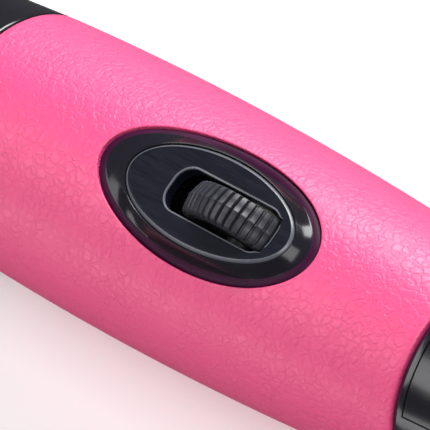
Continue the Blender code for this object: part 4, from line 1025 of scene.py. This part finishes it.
def make_lever(top):
    """A thumb lever from a ridged pad, over its pin, to a foot that lies on the spoon at top."""
    px, pz = CLAMP_PIN_X, CLAMP_PIN_Z
    spine = [  # x, underside z, top z, half width
        (px - 17.2, pz + 6.7, pz + 7.9, 4.6), (px - 16.9, pz + 6.4, pz + 8.3, 5.9),
        (px - 16.0, pz + 6.0, pz + 8.1, 6.7), (px - 14.0, pz + 5.2, pz + 7.3, 7.0),
        (px - 11.0, pz + 4.1, pz + 6.2, 7.0), (px - 8.5, pz + 3.2, pz + 5.2, 6.9),
        (px - 6.8, pz + 2.3, pz + 4.4, 6.0), (px - 5.2, pz + 1.0, pz + 3.8, 4.9),
        (px - 3.2, pz - 1.0, pz + 3.2, 4.8), (px - 1.5, pz - 2.2, pz + 2.8, 4.8),
        (px + 0.6, pz - 2.5, pz + 2.4, 4.8), (px + 2.4, pz - 2.4, pz + 1.2, 4.8),
        (px + 4.1, pz - 2.6, pz - 0.5, 4.8), (px + 5.2, top + 0.02, pz - 1.3, 4.8),
        (px + 9.0, top, top + 1.9, 4.6), (px + 15.0, top, top + 1.4, 4.2),
        (px + 16.6, top + 0.1, top + 1.2, 3.6), (px + 17.0, top + 0.3, top + 0.9, 2.8)]
    bm = loft(bmesh.new(), [lever_section(*station) for station in spine])
    lever = place("clamp_thumb_lever", bm, SATIN, "clamp", ["clamp_lever"], sharp=60)
    spring_room = prism(rectangle(px, 20, 3.5, 20), -2.9, 2.9)
    cut(lever, spring_room, pin_hole(px, pz, CLAMP_PIN_R + 0.12))
    first, last, slope = px - 15.2, px - 9.6, 0.36
    for i, x in enumerate(steps(first, last, 5)):
        z = pz + 7.75 - (x - first) * slope
        ridge = rod((x, -4.9, z), (x, 4.9, z), 0.42, 16, 0.3)
        place(f"thumb_ridge_{i + 1}", ridge, SATIN, "clamp")


def make_clamp():
    inner, outer = BARREL_R + 0.3, BARREL_R + 0.3 + CLAMP_THICK
    make_spoon(inner, outer)
    top = outer + 0.3
    make_lever(top)
    head = top + 1.9 - inner
    rivet = [(0, 0), (0, 1.0), (head, 1.0), (head, 2.0, 0.2), (head + 0.3, 1.9, 0.3), (head + 0.7, 0.9),
             (head + 0.75, 0)]
    bm = stood(turned(eased(rivet), 32), (CLAMP_BACK_X + 4, 0, inner + 0.1), (0, 0, 1))
    place("clamp_rivet_dome", bm, STEEL, "clamp", ["clamp_rivet"])


# ---- the curler ----

finish_cad_nodes()
make_grip_top()
make_grip_bottom()
make_screws()
make_bezel()
make_plate()
make_wheel()
make_tail()
make_swivel()
make_collar()
make_stand()
make_barrel()
make_clamp()


# ---- floor, light and camera ----

FLOOR_HALF, FLOOR_WHITE, FLOOR_ROUGHNESS, FLOOR_GLOW = 4.0, 0.93, 0.7, 0.08  # the half size is in metres
WORLD_LIGHT = 0.08


def make_floor():
    mesh = bpy.data.meshes.new("studio_floor")
    corners = [(x, y, 0) for x, y in rectangle(0, 0, FLOOR_HALF, FLOOR_HALF)]
    mesh.from_pydata(corners, [], [(0, 1, 2, 3)])
    floor = bpy.data.objects.new("studio_floor", mesh)
    bpy.context.scene.collection.objects.link(floor)
    material = bpy.data.materials.new("studio_white")
    material.use_nodes = True
    shader = material.node_tree.nodes["Principled BSDF"]
    shader.inputs["Base Color"].default_value = (FLOOR_WHITE, FLOOR_WHITE, FLOOR_WHITE, 1)
    shader.inputs["Roughness"].default_value = FLOOR_ROUGHNESS
    shader.inputs["Emission Color"].default_value = (1, 1, 1, 1)
    shader.inputs["Emission Strength"].default_value = FLOOR_GLOW
    mesh.materials.append(material)
    floor.visible_glossy = False  # the sweep is small in a real studio, so polished parts don't mirror it


def softbox(name, place_mm, aim_mm, size_mm, watts):
    """A white rectangular area light, placed and aimed in the curler's own directions."""
    data = bpy.data.lights.new(name, "AREA")
    data.shape, data.size, data.size_y = "RECTANGLE", size_mm[0] * MM, size_mm[1] * MM
    data.energy = watts
    light = bpy.data.objects.new(name, data)
    bpy.context.scene.collection.objects.link(light)
    start, end = TO_WORLD @ Vector(place_mm), TO_WORLD @ Vector(aim_mm)
    light.location = start
    light.rotation_mode = "QUATERNION"
    light.rotation_quaternion = (end - start).to_track_quat("-Z", "Y")


def make_world(strength):
    world = bpy.data.worlds.new("studio")
    bpy.context.scene.world = world
    world.use_nodes = True
    background = world.node_tree.nodes["Background"]
    background.inputs["Color"].default_value = (1, 1, 1, 1)
    background.inputs["Strength"].default_value = strength


# The camera: where it aims, how far off it stands and from which way, in the curler's own directions
AIM = (2.9, -1.2, 19.0)
DISTANCE, AZIMUTH, ELEVATION, ROLL = 647.8, math.radians(72.9), math.radians(53.35), math.radians(-40.9)
LENS, SENSOR, CLIP = 402.3, 36.0, (0.01, 20)


def make_camera():
    data = bpy.data.cameras.new("camera")
    data.lens, data.sensor_width = LENS, SENSOR
    data.clip_start, data.clip_end = CLIP
    camera = bpy.data.objects.new("camera", data)
    bpy.context.scene.collection.objects.link(camera)
    level = Vector((math.cos(AZIMUTH), math.sin(AZIMUTH), 0))
    outward = Vector((math.sin(AZIMUTH), -math.cos(AZIMUTH), 0))
    back = outward * math.cos(ELEVATION) + Vector((0, 0, math.sin(ELEVATION)))
    rise = back.cross(level)
    right = level * math.cos(ROLL) + rise * math.sin(ROLL)
    up = back.cross(right)
    turn = TO_WORLD.to_3x3().normalized() @ Matrix((right, up, back)).transposed()
    camera.matrix_world = Matrix.Translation(TO_WORLD @ (Vector(AIM) + back * DISTANCE)) @ turn.to_4x4()
    bpy.context.scene.camera = camera


make_floor()
make_world(WORLD_LIGHT)
softbox("key_softbox", (-80, 700, 400), (30, 0, 10), (560, 340), 10.0)
softbox("left_softbox", (-430, -330, 690), (30, 0, 0), (620, 420), 3.2)
softbox("low_softbox", (-500, -820, 130), (10, 0, 0), (700, 260), 1.8)
softbox("camera_softbox", (560, -60, 780), (0, 0, 0), (560, 560), 5.3)
bpy.context.scene.view_settings.view_transform = "Standard"
make_camera()
